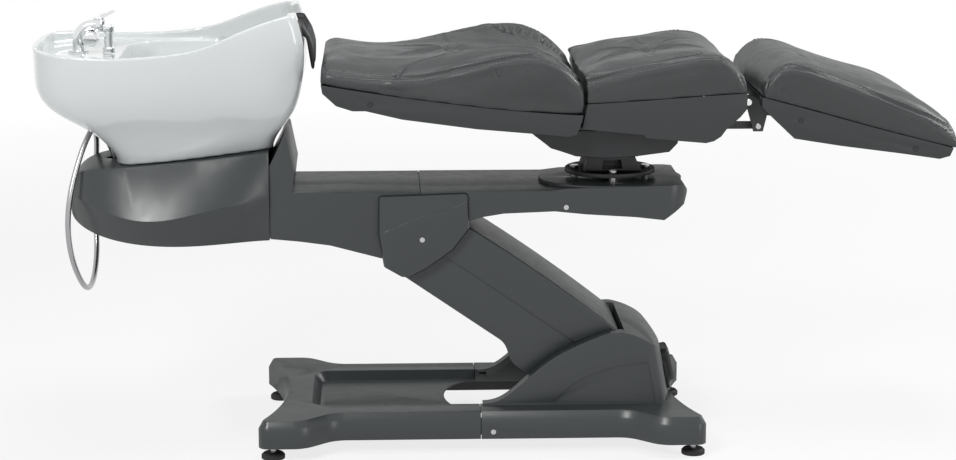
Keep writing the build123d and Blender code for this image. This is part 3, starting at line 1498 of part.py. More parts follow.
# Seat frame: a foot on the riser, a column, cross tubes and two side plates with pivots
seat_plate_inner_y = 186
seat_plate_thickness = 6
seat_plate_outer_y = seat_plate_inner_y + seat_plate_thickness
hinge_gap = 1.5
hinge_plate_inner_y = seat_plate_outer_y + hinge_gap
hinge_plate_outer_y = hinge_plate_inner_y + seat_plate_thickness
hinge_pin_radius = 7
hinge_ear_radius = 16
leg_ear_radius = 14
riser_top_z = riser_points[2][1]
seat_foot_length = 112
seat_foot_width = 108
seat_foot_height = 8
seat_column_length = 84
seat_column_width = 72
seat_bar_low_z = 708
seat_bar_high_z = 736
seat_bar_start_x = 205
seat_bar_end_x = 464
seat_heel_low_z = 692
seat_heel_high_z = 716
seat_heel_end_x = 216
seat_cross_rear_x = 222
seat_cross_mid_x = 302
seat_cross_front_x = 440
seat_front_cross_height = 18
leg_pin_x = 556
leg_pin_z = 699
leg_pin_radius = 6

with BuildSketch(Plane.XZ) as seat_plate:
    with Locations((back_pivot_x, back_pivot_z)):
        Circle(hinge_ear_radius)
    with Locations((back_pivot_x, seat_heel_low_z)):
        Rectangle(2 * hinge_ear_radius, back_pivot_z - seat_heel_low_z, align=(Align.CENTER, Align.MIN))
        Rectangle(
            seat_heel_end_x - back_pivot_x,
            seat_heel_high_z - seat_heel_low_z,
            align=(Align.MIN, Align.MIN),
        )
    with Locations((seat_bar_start_x, seat_bar_low_z)):
        Rectangle(
            seat_bar_end_x - seat_bar_start_x,
            seat_bar_high_z - seat_bar_low_z,
            align=(Align.MIN, Align.MIN),
        )
    with Locations((leg_pivot_x, leg_pivot_z)):
        Circle(leg_ear_radius)
    Polygon(
        (seat_cross_front_x, seat_bar_high_z),
        (seat_bar_end_x - seat_plate_thickness, seat_bar_low_z),
        (seat_bar_end_x + seat_plate_thickness, seat_bar_low_z),
        (leg_pivot_x + hinge_pin_radius, leg_pivot_z - leg_ear_radius + tube_wall),
        (leg_pivot_x - hinge_pin_radius, leg_pivot_z + leg_ear_radius - tube_wall),
        align=None,
    )
    with Locations((back_pivot_x, back_pivot_z), (leg_pivot_x, leg_pivot_z)):
        Circle(hinge_pin_radius + running_gap, mode=Mode.SUBTRACT)

with BuildPart() as seat_frame:
    plate_pair(seat_plate, seat_plate_inner_y, seat_plate_thickness)
    with Locations((seat_mount_x, 0, riser_top_z)):
        Box(seat_foot_length, seat_foot_width, seat_foot_height, align=(Align.CENTER, Align.CENTER, Align.MIN))
        Box(seat_column_length, seat_column_width, seat_bar_high_z - riser_top_z, align=(Align.CENTER, Align.CENTER, Align.MIN))
        Box(
            seat_column_length - 2 * shell_wall,
            seat_column_width - 2 * shell_wall,
            seat_bar_high_z,
            align=(Align.CENTER, Align.CENTER, Align.MIN),
            mode=Mode.SUBTRACT,
        )
    for cross_x, cross_height in (
        (seat_cross_rear_x, seat_bar_high_z - seat_bar_low_z),
        (seat_cross_mid_x, seat_bar_high_z - seat_bar_low_z),
        (seat_cross_front_x, seat_front_cross_height),
    ):
        with Locations((cross_x, 0, seat_bar_high_z)):
            Box(
                seat_bar_high_z - seat_bar_low_z,
                2 * seat_plate_inner_y + tube_wall,
                cross_height,
                align=(Align.CENTER, Align.CENTER, Align.MAX),
            )
seat_frame.part.label = "seat_frame"
export_step(seat_frame.part, "parts/seat_frame.step")

# Pan under the seat: a shallow dish, deepest on the middle line, round the frame's foot
pan_points = [
    (72, 690),
    (121, 652),
    (176, 635),
    (236, 631),
    (300, 634),
    (371, 643),
    (389, 662),
    (389, 690),
]
pan_half_width = 184
pan_sag = 19
pan_wall = 4


def pan_outline(y, sag, inset):
    points = []
    for x, z in pan_points:
        low_share = (pan_points[0][1] - z) / (pan_points[0][1] - pan_points[3][1])
        points.append((x, z - sag * min(low_share, 1)))
    with BuildSketch(Plane.XZ.offset(-y)) as outline:
        Polygon(*points, align=None)
        if inset:
            offset(amount=-inset, kind=Kind.INTERSECTION, mode=Mode.REPLACE)
    return outline.sketch


def pan_solid(inset):
    half = pan_half_width - inset
    return loft([pan_outline(-half, 0, inset), pan_outline(0, pan_sag, inset), pan_outline(half, 0, inset)])


with BuildPart() as seat_lower_pan:
    add(pan_solid(0))
    add(pan_solid(pan_wall), mode=Mode.SUBTRACT)
    with Locations(((pan_points[0][0] + pan_points[-1][0]) / 2, 0, pan_points[0][1])):
        Box(
            pan_points[-1][0] - pan_points[0][0] - 2 * pan_wall,
            2 * (pan_half_width - pan_wall),
            3 * pan_wall,
            mode=Mode.SUBTRACT,
        )
    with Locations((seat_mount_x, 0, riser_top_z)):
        Box(seat_foot_length + 2 * seat_gap, seat_foot_width + 2 * seat_gap, 2 * overrun, mode=Mode.SUBTRACT)
    # Tabs reach out to the seat frame's side plates
    for tab_x in (seat_cross_rear_x, seat_cross_mid_x):
        for side in (1, -1):
            with Locations((tab_x, side * pan_half_width, pan_points[0][1] - pan_wall)):
                Box(
                    hinge_ear_radius,
                    2 * (seat_plate_inner_y - pan_half_width),
                    seat_bar_low_z - pan_points[0][1] + pan_wall,
                    align=(Align.CENTER, Align.CENTER, Align.MIN),
                )
seat_lower_pan.part.label = "seat_lower_pan"
export_step(seat_lower_pan.part, "parts/seat_lower_pan.step")

# Seat shell and cushion
seat_half_width = 240
seat_seam = [(160, 751), (190, 753), (310, 760), (427, 768), (530, 775)]
seat_shell_points = [
    (192, 830),
    (192, 752),
    (181, 701),
    (311, 688),
    (317, 681),
    (441, 670),
    (458, 674),
    (473, 684),
    (484, 699),
    (513, 725),
    (526, 741),
    (526, 830),
]
seat_sweep_radius = 111
back_sweep_radius = 106
seat_bay_half_width = 200
seat_bay_front_x = 405
ear_slot_inner_y = 184
ear_slot_outer_y = 202
ear_slot_length = 90
link_slot_inner_y = 173
seat_rib_xs = (240, 425)
seat_rib_length = 8
seat_rib_height = 20
seat_stations = [
    (176, 240, 748, 795, 203, 812, 808),
    (240, 240, 752, 813, 204, 831, 823),
    (300, 240, 756, 827, 204, 841, 832),
    (351, 240, 759, 837, 204, 848, 836),
    (416, 240, 763, 848, 204, 858, 850),
    (460, 240, 766, 850, 203, 856, 851),
    (500, 239, 769, 826, 202, 838, 835),
    (526, 238, 771, 792, 202, 799, 797),
]

seat_below = under_seam(seat_seam)
with BuildPart() as seat_shell:
    extrude(shell_side(seat_shell_points), amount=seat_half_width, both=True)
    extrude(shell_side(seat_shell_points, shell_wall), amount=seat_half_width - shell_wall, both=True, mode=Mode.SUBTRACT)
    extrude(seat_below, amount=seat_half_width, both=True, mode=Mode.INTERSECT)
    # Open below over the pan and the frame, with slots at the front for the leg links
    with Locations((seat_bay_front_x, 0, seat_bar_high_z + shell_wall)):
        Box(
            seat_bay_front_x,
            2 * seat_bay_half_width,
            seat_room,
            align=(Align.MAX, Align.CENTER, Align.MAX),
            mode=Mode.SUBTRACT,
        )
    slot_mid_y = (link_slot_inner_y + ear_slot_outer_y) / 2
    for side in (1, -1):
        with Locations((leg_pivot_x + leg_ear_radius, side * slot_mid_y, leg_pin_z - leg_ear_radius)):
            Box(
                2 * ear_slot_length,
                ear_slot_outer_y - link_slot_inner_y,
                ear_slot_length,
                align=(Align.MAX, Align.CENTER, Align.MIN),
                mode=Mode.SUBTRACT,
            )
    # Ribs reach in from the side walls to the seat frame's plates
    for rib_x in seat_rib_xs:
        for side in (1, -1):
            with Locations((rib_x, side * seat_plate_outer_y, (seat_bar_low_z + seat_bar_high_z) / 2)):
                Box(
                    seat_rib_length,
                    seat_half_width - shell_wall / 2 - seat_plate_outer_y,
                    seat_rib_height,
                    align=(Align.CENTER, Align.MIN if side > 0 else Align.MAX, Align.CENTER),
                )
seat_shell.part.label = "seat_shell"
export_step(seat_shell.part, "parts/seat_shell.step")

with BuildPart() as seat_cushion:
    add(cushion_solid(seat_stations))
    extrude(seat_below, amount=2 * seat_half_width, both=True, mode=Mode.SUBTRACT)
    cross_pin(back_pivot_x, back_pivot_z, seat_sweep_radius, 2 * seat_half_width, Mode.SUBTRACT)
seat_cushion.part.label = "seat_cushion"
export_step(seat_cushion.part, "parts/seat_cushion.step")

# Backrest: hinge arms, a shell with two wings beside the seat, and the cushion
back_half_width = 256
back_seam = [(-370, 800), (-307, 789), (-231, 777), (-116, 761), (-1, 747), (95, 738), (190, 732)]
back_shell_points = [
    (-361, 880),
    (-361, 798),
    (-358, 781),
    (-330, 755),
    (-296, 744),
    (-269, 744),
    (-193, 726),
    (-39, 705),
    (76, 695),
    (153, 688),
    (169, 692),
    (180, 720),
    (183, 736),
    (183, 880),
]
back_center_end_x = 46
wing_inner_y = 202
back_arm_points = [(81, 781), (42, 770), (30, 741), (-220, 768), (-220, 741), (20, 713), (62, 723), (81, 755)]
back_cross_size = 20
back_cross_spots = [(-190, 752), (-30, 725)]
back_screw_x = -259
back_screw_z = 757
back_screw_recess = 4
back_slot_left_x = 24
back_slot_top_z = 790
back_stations = [
    (-362, 236, 790, 824, 214, 842, 846),
    (-350, 248, 786, 828, 220, 856, 860),
    (-310, 252, 780, 822, 224, 858, 868),
    (-240, 254, 770, 816, 228, 850, 867),
    (-150, 256, 752, 815, 232, 852, 858),
    (-60, 258, 742, 832, 237, 864, 848),
    (18, 259, 736, 851, 240, 872, 842),
    (80, 258, 732, 855, 240, 868, 838),
    (133, 254, 729, 838, 236, 846, 824),
    (168, 250, 726, 805, 230, 816, 800),
    (190, 246, 724, 780, 226, 790, 778),
]

back_below = under_seam(back_seam)
with BuildSketch(Plane.XZ) as beyond_sweep:
    with Locations((back_pivot_x, back_pivot_z)):
        Rectangle(2 * back_sweep_radius, 4 * back_sweep_radius, align=(Align.MIN, Align.CENTER))
        Circle(back_sweep_radius, mode=Mode.SUBTRACT)


with BuildSketch(Plane.XZ) as back_arm:
    with Locations((back_pivot_x, back_pivot_z)):
        Circle(hinge_ear_radius)
    Polygon(*back_arm_points, align=None)
    with Locations((back_pivot_x, back_pivot_z)):
        Circle(hinge_pin_radius + running_gap, mode=Mode.SUBTRACT)

with BuildPart() as backrest_frame:
    plate_pair(back_arm, hinge_plate_inner_y, seat_plate_thickness)
    for cross_x, cross_z in back_cross_spots:
        with Locations((cross_x, 0, cross_z)):
            Box(back_cross_size, 2 * hinge_plate_outer_y - hinge_gap, back_cross_size)
backrest_frame.part.label = "backrest_frame"
export_step(backrest_frame.part, "parts/backrest_frame.step")

with BuildPart() as back_hinge_pins:
    pin_pair(back_pivot_x, back_pivot_z, hinge_pin_radius, seat_plate_inner_y - hinge_gap, hinge_plate_outer_y + hinge_gap)
    chamfer(back_hinge_pins.edges().filter_by(GeomType.CIRCLE), hinge_gap / 2)
back_hinge_pins.part.label = "back_hinge_pins"
export_step(back_hinge_pins.part, "parts/back_hinge_pins.step")

with BuildPart() as backrest_shell:
    extrude(shell_side(back_shell_points), amount=back_half_width, both=True)
    hollow_side = shell_side(back_shell_points, shell_wall)
    extrude(hollow_side, amount=back_half_width - shell_wall, both=True, mode=Mode.SUBTRACT)
    extrude(back_below, amount=back_half_width, both=True, mode=Mode.INTERSECT)
    # Between the wings the shell stops short of the seat, and each wing has an inner wall
    wing_run = back_shell_points[-1][0] - back_center_end_x
    with BuildSketch(Plane.XZ) as wing_side:
        add(shell_side(back_shell_points))
        with Locations((back_center_end_x, back_pivot_z)):
            Rectangle(wing_run, 2 * seat_room, align=(Align.MIN, Align.CENTER), mode=Mode.INTERSECT)
    for side in (1, -1):
        wing = wing_side.sketch.moved(Location((0, side * wing_inner_y, 0)))
        extrude(wing, amount=shell_wall, dir=(0, side, 0))
    extrude(back_below, amount=back_half_width, both=True, mode=Mode.INTERSECT)
    with Locations((back_center_end_x, 0, back_pivot_z)):
        Box(
            2 * wing_run,
            2 * wing_inner_y,
            2 * seat_room,
            align=(Align.MIN, Align.CENTER, Align.CENTER),
            mode=Mode.SUBTRACT,
        )
    pin_pair(
        back_screw_x,
        back_screw_z,
        screw_head_radius + seat_gap,
        back_half_width - back_screw_recess / 2,
        back_half_width + overrun,
        Mode.SUBTRACT,
    )
    # Ribs on the floor under the frame's cross tubes
    for cross_x, cross_z in back_cross_spots:
        with BuildSketch(Plane.XZ) as rib:
            add(shell_side(back_shell_points, shell_wall / 2))
            with Locations((cross_x, cross_z - back_cross_size / 2)):
                Rectangle(shell_rib_length, seat_room, align=(Align.CENTER, Align.MAX), mode=Mode.INTERSECT)
        extrude(rib.sketch, amount=shell_rib_half_width, both=True)
backrest_shell.part.label = "backrest_shell"
export_step(backrest_shell.part, "parts/backrest_shell.step")

back_raise_angle = 40
pan_swing_gap = 3

with BuildPart() as backrest_cushion:
    add(cushion_solid(back_stations))
    extrude(back_below, amount=2 * back_half_width, both=True, mode=Mode.SUBTRACT)
    extrude(beyond_sweep.sketch, amount=2 * back_half_width, both=True, mode=Mode.SUBTRACT)
    # The foot end is cut away underneath, so that it clears the pan's rim when the back stands up
    with Locations(Location((back_pivot_x, 0, back_pivot_z), (0, -back_raise_angle, 0))):
        with Locations((0, 0, pan_points[0][1] + pan_swing_gap - back_pivot_z)):
            Box(
                2 * back_sweep_radius,
                2 * (pan_half_width + pan_swing_gap),
                seat_room,
                align=(Align.CENTER, Align.CENTER, Align.MAX),
                mode=Mode.SUBTRACT,
            )
    # Slots for the hinge arms and the seat's pivot plates
    for side in (1, -1):
        with Locations((back_slot_left_x, side * (ear_slot_inner_y + wing_inner_y) / 2, back_slot_top_z)):
            Box(
                2 * back_sweep_radius,
                wing_inner_y - ear_slot_inner_y,
                seat_room,
                align=(Align.MIN, Align.CENTER, Align.MAX),
                mode=Mode.SUBTRACT,
            )
backrest_cushion.part.label = "backrest_cushion"
export_step(backrest_cushion.part, "parts/backrest_cushion.step")

with BuildPart() as backrest_screws:
    pin_pair(
        back_screw_x,
        back_screw_z,
        screw_head_radius,
        back_half_width - back_screw_recess / 2,
        back_half_width - back_screw_recess / 2 + screw_head_height,
    )
backrest_screws.part.label = "backrest_screws"
export_step(backrest_screws.part, "parts/backrest_screws.step")

# Legrest: brackets on the front pivots, a shell and a cushion, and the links that drive it
leg_half_width = 237
leg_seam = [(540, 770), (560, 765), (627, 747), (722, 721), (818, 694), (898, 673), (990, 649)]
leg_shell_points = [
    (558, 840),
    (558, 745),
    (572, 730),
    (627, 678),
    (726, 662),
    (854, 645),
    (935, 633),
    (957, 639),
    (964, 655),
    (969, 691),
    (969, 840),
]
leg_stations = [
    (560, 233, 757, 780, 208, 788, 788),
    (572, 236, 752, 806, 206, 810, 811),
    (592, 238, 747, 824, 206, 829, 829),
    (625, 238, 738, 832, 206, 838, 840),
    (700, 238, 718, 807, 206, 817, 823),
    (790, 238, 693, 771, 206, 786, 793),
    (880, 237, 668, 734, 207, 756, 762),
    (936, 236, 652, 706, 208, 724, 729),
    (962, 232, 645, 688, 211, 702, 706),
    (974, 226, 642, 670, 212, 676, 678),
]
leg_bracket_points = [(541, 764), (528, 752), (546, 688), (566, 688), (574, 722), (640, 716), (790, 676), (790, 696), (640, 738), (574, 746)]
leg_cross_size = 18
leg_cross_spots = [(646, 727), (776, 690)]
leg_slot_right_x = 616
leg_screw_spots = [(640, 716), (883, 655)]

leg_below = under_seam(leg_seam)
with BuildSketch(Plane.XZ) as leg_bracket:
    with Locations((leg_pivot_x, leg_pivot_z)):
        Circle(leg_ear_radius)
    Polygon(*leg_bracket_points, align=None)
    with Locations((leg_pivot_x, leg_pivot_z)):
        Circle(hinge_pin_radius + running_gap, mode=Mode.SUBTRACT)
    with Locations((leg_pin_x, leg_pin_z)):
        Circle(leg_pin_radius + running_gap, mode=Mode.SUBTRACT)

with BuildPart() as legrest_brackets:
    plate_pair(leg_bracket, hinge_plate_inner_y, seat_plate_thickness)
    for cross_x, cross_z in leg_cross_spots:
        with Locations((cross_x, 0, cross_z)):
            Box(leg_cross_size, 2 * hinge_plate_outer_y - hinge_gap, leg_cross_size)
legrest_brackets.part.label = "legrest_brackets"
export_step(legrest_brackets.part, "parts/legrest_brackets.step")

with BuildPart() as leg_hinge_pins:
    pin_pair(leg_pivot_x, leg_pivot_z, hinge_pin_radius, seat_plate_inner_y - hinge_gap, hinge_plate_outer_y + 2 * hinge_gap)
    chamfer(leg_hinge_pins.edges().filter_by(GeomType.CIRCLE), hinge_gap / 2)
leg_hinge_pins.part.label = "leg_hinge_pins"
export_step(leg_hinge_pins.part, "parts/leg_hinge_pins.step")

with BuildPart() as legrest_shell:
    extrude(shell_side(leg_shell_points), amount=leg_half_width, both=True)
    extrude(shell_side(leg_shell_points, shell_wall), amount=leg_half_width - shell_wall, both=True, mode=Mode.SUBTRACT)
    extrude(leg_below, amount=leg_half_width, both=True, mode=Mode.INTERSECT)
    for side in (1, -1):
        with Locations((leg_slot_right_x, side * (ear_slot_inner_y + ear_slot_outer_y) / 2, leg_pivot_z)):
            Box(
                2 * leg_slot_right_x - 2 * leg_pivot_x,
                ear_slot_outer_y - ear_slot_inner_y,
                2 * (leg_pivot_z - leg_pin_z),
                align=(Align.MAX, Align.CENTER, Align.CENTER),
                mode=Mode.SUBTRACT,
            )
    for spot_x, spot_z in leg_screw_spots:
        pin_pair(
            spot_x,
            spot_z,
            screw_head_radius + seat_gap,
            leg_half_width - back_screw_recess / 2,
            leg_half_width + overrun,
            Mode.SUBTRACT,
        )
    # Ribs on the floor under the brackets' cross tubes
    for cross_x, cross_z in leg_cross_spots:
        with BuildSketch(Plane.XZ) as rib:
            add(shell_side(leg_shell_points, shell_wall / 2))
            with Locations((cross_x, cross_z - leg_cross_size / 2)):
                Rectangle(shell_rib_length, seat_room, align=(Align.CENTER, Align.MAX), mode=Mode.INTERSECT)
        extrude(rib.sketch, amount=shell_rib_half_width, both=True)
legrest_shell.part.label = "legrest_shell"
export_step(legrest_shell.part, "parts/legrest_shell.step")

with BuildPart() as legrest_cushion:
    add(cushion_solid(leg_stations))
    extrude(leg_below, amount=2 * leg_half_width, both=True, mode=Mode.SUBTRACT)
legrest_cushion.part.label = "legrest_cushion"
export_step(legrest_cushion.part, "parts/legrest_cushion.step")

with BuildPart() as legrest_screws:
    for spot_x, spot_z in leg_screw_spots:
        pin_pair(
            spot_x,
            spot_z,
            screw_head_radius,
            leg_half_width - back_screw_recess / 2,
            leg_half_width - back_screw_recess / 2 + screw_head_height,
        )
legrest_screws.part.label = "legrest_screws"
export_step(legrest_screws.part, "parts/legrest_screws.step")

link_bar_thickness_leg = 6
leg_link_inner_y = 176
leg_link_outer_y = leg_link_inner_y + link_bar_thickness_leg
leg_link_length = 110
leg_link_height = 16
leg_link_rod_radius = 7

with BuildSketch(Plane.XZ) as leg_link_side:
    with Locations((leg_pin_x - leg_link_length / 2, leg_pin_z)):
        SlotCenterToCenter(leg_link_length, leg_link_height)
    with Locations((leg_pin_x, leg_pin_z)):
        Circle(leg_pin_radius + running_gap, mode=Mode.SUBTRACT)

with BuildPart() as leg_links:
    plate_pair(leg_link_side, leg_link_inner_y, link_bar_thickness_leg)
    cross_pin(leg_pin_x - leg_link_length, leg_pin_z, leg_link_rod_radius, leg_link_inner_y + hinge_gap)
leg_links.part.label = "leg_links"
export_step(leg_links.part, "parts/leg_links.step")

with BuildPart() as leg_link_pins:
    pin_pair(leg_pin_x, leg_pin_z, leg_pin_radius, leg_link_inner_y - hinge_gap, hinge_plate_outer_y + 2 * hinge_gap)
    chamfer(leg_link_pins.edges().filter_by(GeomType.CIRCLE), hinge_gap / 2)
leg_link_pins.part.label = "leg_link_pins"
export_step(leg_link_pins.part, "parts/leg_link_pins.step")

# Neck rest: a soft saddle that lies in the dip of the rim and hangs down outside it
neck_stations = [
    (-92, 0.72, -5),
    (-78, 1, 0),
    (0, 1, -2),
    (78, 1, 0),
    (92, 0.72, -5),
]
neck_points = [
    (-446, 880),
    (-444, 900),
    (-428, 910),
    (-402, 911),
    (-385, 884),
    (-377, 850),
    (-378, 813),
    (-384, 812),
    (-389, 842),
    (-394, 874),
    (-398, 880),
]
neck_center = (-410, 880)

with BuildPart() as neck_rest:
    neck_faces = []
    for station_y, size_share, rise in neck_stations:
        scaled = []
        for x, z in neck_points:
            raised = max(z - neck_center[1], 0) * size_share + (rise if z > neck_center[1] else 0)
            lowered = min(z - neck_center[1], 0) * size_share
            scaled.append((x, neck_center[1] + max(raised, 0) + lowered))
        with BuildSketch(Plane.XZ.offset(-station_y)) as neck_section:
            Polygon(*scaled, align=None)
        neck_faces.append(neck_section.sketch)
    loft(neck_faces)
    # Its underside is moulded to the rim
    add(bowl.part, mode=Mode.SUBTRACT)
neck_rest.part.label = "neck_rest"
export_step(neck_rest.part, "parts/neck_rest.step")

# Drain: a flanged tailpiece through the basin's floor, and a strainer that lifts out
tailpiece_radius = 20
tailpiece_wall = 2
tailpiece_bottom_z = 474
tailpiece_nut_radius = 33
tailpiece_nut_height = 9
strainer_radius = 22
strainer_thickness = 2
strainer_hole_radius = 2
strainer_hole_circle = 13
strainer_hole_count = 8
strainer_knob_radius = 5

with BuildPart() as drain_tailpiece:
    with Locations((drain_x, 0, basin_floor_z)):
        Cylinder(drain_flange_radius, drain_flange_height, align=(Align.CENTER, Align.CENTER, Align.MIN))
        Cylinder(
            drain_radius - seat_gap,
            2 * bowl_wall,
            align=(Align.CENTER, Align.CENTER, Align.MAX),
        )
    with Locations((drain_x, 0, cavity_roof_levels[0][0])):
        Cylinder(tailpiece_nut_radius, tailpiece_nut_height, align=(Align.CENTER, Align.CENTER, Align.MAX))
    with Locations((drain_x, 0, tailpiece_bottom_z)):
        Cylinder(tailpiece_radius, basin_floor_z - tailpiece_bottom_z, align=(Align.CENTER, Align.CENTER, Align.MIN))
        Cylinder(tailpiece_radius - tailpiece_wall, 3 * basin_floor_z, mode=Mode.SUBTRACT)
    # The strainer drops into a rebate in the flange
    with Locations((drain_x, 0, basin_floor_z + drain_flange_height)):
        Cylinder(strainer_radius + seat_gap, 2 * strainer_thickness, mode=Mode.SUBTRACT)
drain_tailpiece.part.label = "drain_tailpiece"
export_step(drain_tailpiece.part, "parts/drain_tailpiece.step")

with BuildPart() as drain_strainer:
    with Locations((drain_x, 0, basin_floor_z + drain_flange_height - strainer_thickness)):
        Cylinder(strainer_radius, strainer_thickness, align=(Align.CENTER, Align.CENTER, Align.MIN))
        with PolarLocations(strainer_hole_circle, strainer_hole_count):
            Cylinder(strainer_hole_radius, 3 * strainer_thickness, mode=Mode.SUBTRACT)
    with Locations((drain_x, 0, basin_floor_z + drain_flange_height)):
        Cylinder(strainer_knob_radius, 2 * strainer_knob_radius, align=(Align.CENTER, Align.CENTER, Align.MIN))
    fillet(drain_strainer.edges().sort_by(Axis.Z)[-1], strainer_thickness)
drain_strainer.part.label = "drain_strainer"
export_step(drain_strainer.part, "parts/drain_strainer.step")

# Mixer: an arched column, a round valve body across it and a shank through the deck
mixer_flange_radius = 22
mixer_flange_height = 4
mixer_column_radius = 12
mixer_straight_z = 868
mixer_arch = [(-885, 868), (-873, 889), (-846, 896)]
mixer_valve_x = -857
mixer_valve_z = 868
mixer_valve_radius = 17
mixer_valve_near_y = -24
mixer_valve_far_y = 20
mixer_neck_radius = 13
mixer_neck_x = -840
mixer_neck_low_z = 884
mixer_neck_top_z = 909
cap_length = 14
lever_hub_radius = 11
lever_points = [(-850, 910), (-836, 919), (-808, 929), (-805, 925), (-830, 912), (-834, 910)]
lever_half_width = 6

with BuildPart() as mixer_body:
    with Locations((mixer_x, 0, deck_z)):
        Cylinder(mixer_flange_radius, mixer_flange_height, align=(Align.CENTER, Align.CENTER, Align.MIN))
        Cylinder(mixer_column_radius, mixer_straight_z - deck_z, align=(Align.CENTER, Align.CENTER, Align.MIN))
    with Locations((mixer_x, 0, shank_bottom_z)):
        Cylinder(mixer_shank_radius, deck_z - shank_bottom_z, align=(Align.CENTER, Align.CENTER, Align.MIN))
        Cylinder(
            mixer_manifold_radius,
            mixer_manifold_height,
            align=(Align.CENTER, Align.CENTER, Align.MAX),
        )
    with BuildLine(Plane.XZ) as arch_path:
        ThreePointArc(*mixer_arch)
    with BuildSketch(Plane.XY.offset(mixer_straight_z)) as arch_ring:
        with Locations((mixer_x, 0)):
            Circle(mixer_column_radius)
    sweep(sections=arch_ring.sketch, path=arch_path.line)
    with Locations(Location((mixer_valve_x, mixer_valve_near_y, mixer_valve_z), (-90, 0, 0))):
        Cylinder(
            mixer_valve_radius,
            mixer_valve_far_y - mixer_valve_near_y,
            align=(Align.CENTER, Align.CENTER, Align.MIN),
        )
    with Locations((mixer_neck_x, 0, mixer_neck_low_z)):
        Cylinder(mixer_neck_radius, mixer_neck_top_z - mixer_neck_low_z, align=(Align.CENTER, Align.CENTER, Align.MIN))
mixer_body.part.label = "mixer_body"
export_step(mixer_body.part, "parts/mixer_body.step")

with BuildPart() as mixer_cap:
    with Locations(Location((mixer_valve_x, mixer_valve_near_y - seat_gap, mixer_valve_z), (90, 0, 0))):
        Cylinder(mixer_valve_radius - strainer_thickness, cap_length, align=(Align.CENTER, Align.CENTER, Align.MIN))
    chamfer(mixer_cap.edges().sort_by(Axis.Y)[0], strainer_thickness)
mixer_cap.part.label = "mixer_cap"
export_step(mixer_cap.part, "parts/mixer_cap.step")

lever_pivot_z = mixer_neck_top_z + seat_gap
with BuildPart() as mixer_lever:
    with Locations((mixer_neck_x, 0, lever_pivot_z)):
        Cylinder(lever_hub_radius, mixer_flange_height, align=(Align.CENTER, Align.CENTER, Align.MIN))
    with BuildSketch(Plane.XZ) as blade:
        Polygon(*lever_points, align=None)
    extrude(blade.sketch, amount=lever_half_width, both=True)
mixer_lever.part.label = "mixer_lever"
export_step(mixer_lever.part, "parts/mixer_lever.step")

# Spray: a grip that lifts out of its socket on the deck
socket_outer_radius = 13
socket_height = 14
spray_radius = 9
spray_bottom_z = 842
spray_head_low_z = 884
spray_head_top_z = 901
spray_head_radius = 12

with BuildPart() as spray_socket:
    with Locations((spray_x, spray_y, deck_z)):
        Cylinder(socket_outer_radius, socket_height, align=(Align.CENTER, Align.CENTER, Align.MIN))
        Cylinder(spray_shank_radius, deck_z - shank_bottom_z, align=(Align.CENTER, Align.CENTER, Align.MAX))
    with Locations((spray_x, spray_y, spray_bottom_z - seat_gap)):
        Cylinder(
            spray_radius + running_gap,
            2 * socket_height,
            align=(Align.CENTER, Align.CENTER, Align.MIN),
            mode=Mode.SUBTRACT,
        )
spray_socket.part.label = "spray_socket"
export_step(spray_socket.part, "parts/spray_socket.step")

with BuildPart() as spray_handle:
    with Locations((spray_x, spray_y, spray_bottom_z)):
        Cylinder(spray_radius, spray_head_low_z - spray_bottom_z, align=(Align.CENTER, Align.CENTER, Align.MIN))
    with Locations((spray_x, spray_y, spray_head_low_z)):
        Cylinder(spray_head_radius, spray_head_top_z - spray_head_low_z, align=(Align.CENTER, Align.CENTER, Align.MIN))
    fillet(spray_handle.edges().filter_by(GeomType.CIRCLE).sort_by(Axis.Z)[-1], 2 * strainer_thickness)
spray_handle.part.label = "spray_handle"
export_step(spray_handle.part, "parts/spray_handle.step")


# Hose nodes
with BuildPart() as shower_hose:
    add(hose_solid(shower_hose_points, hose_radius))
shower_hose.part.label = "shower_hose"
export_step(shower_hose.part, "parts/shower_hose.step")

with BuildPart() as supply_hoses:
    for points in supply_hose_points:
        add(hose_solid(points, supply_radius))
supply_hoses.part.label = "supply_hoses"
export_step(supply_hoses.part, "parts/supply_hoses.step")

with BuildPart() as water_inlets:
    for nipple_y in inlet_nipple_ys:
        with Locations((inlet_nipple_x, nipple_y, inlet_nipple_low_z)):
            Cylinder(inlet_nipple_radius, inlet_nipple_length, align=(Align.CENTER, Align.CENTER, Align.MIN))
            Cylinder(
                inlet_shank_radius,
                inlet_nipple_top_z - inlet_nipple_low_z,
                align=(Align.CENTER, Align.CENTER, Align.MIN),
            )
        with BuildSketch(Plane.XY.offset(inlet_nut_z)) as nut:
            with Locations((inlet_nipple_x, nipple_y)):
                RegularPolygon(inlet_nut_radius, 6)
        extrude(nut.sketch, amount=inlet_nut_height)
water_inlets.part.label = "water_inlets"
export_step(water_inlets.part, "parts/water_inlets.step")

# Screws that show on the covers
with BuildPart() as base_cover_screws:
    side_screw_pair(base_screw_x, base_screw_z, rail_half_width)
base_cover_screws.part.label = "base_cover_screws"
export_step(base_cover_screws.part, "parts/base_cover_screws.step")

with BuildPart() as boom_cover_screws:
    side_screw_pair(knuckle_screw_x, knuckle_screw_z, knuckle_outer_y)
    side_screw_pair(boom_screw_x, boom_screw_z, boom_half_width)
boom_cover_screws.part.label = "boom_cover_screws"
export_step(boom_cover_screws.part, "parts/boom_cover_screws.step")
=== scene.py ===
import json
import math

import bmesh
import bpy
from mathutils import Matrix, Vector
from mathutils.bvhtree import BVHTree

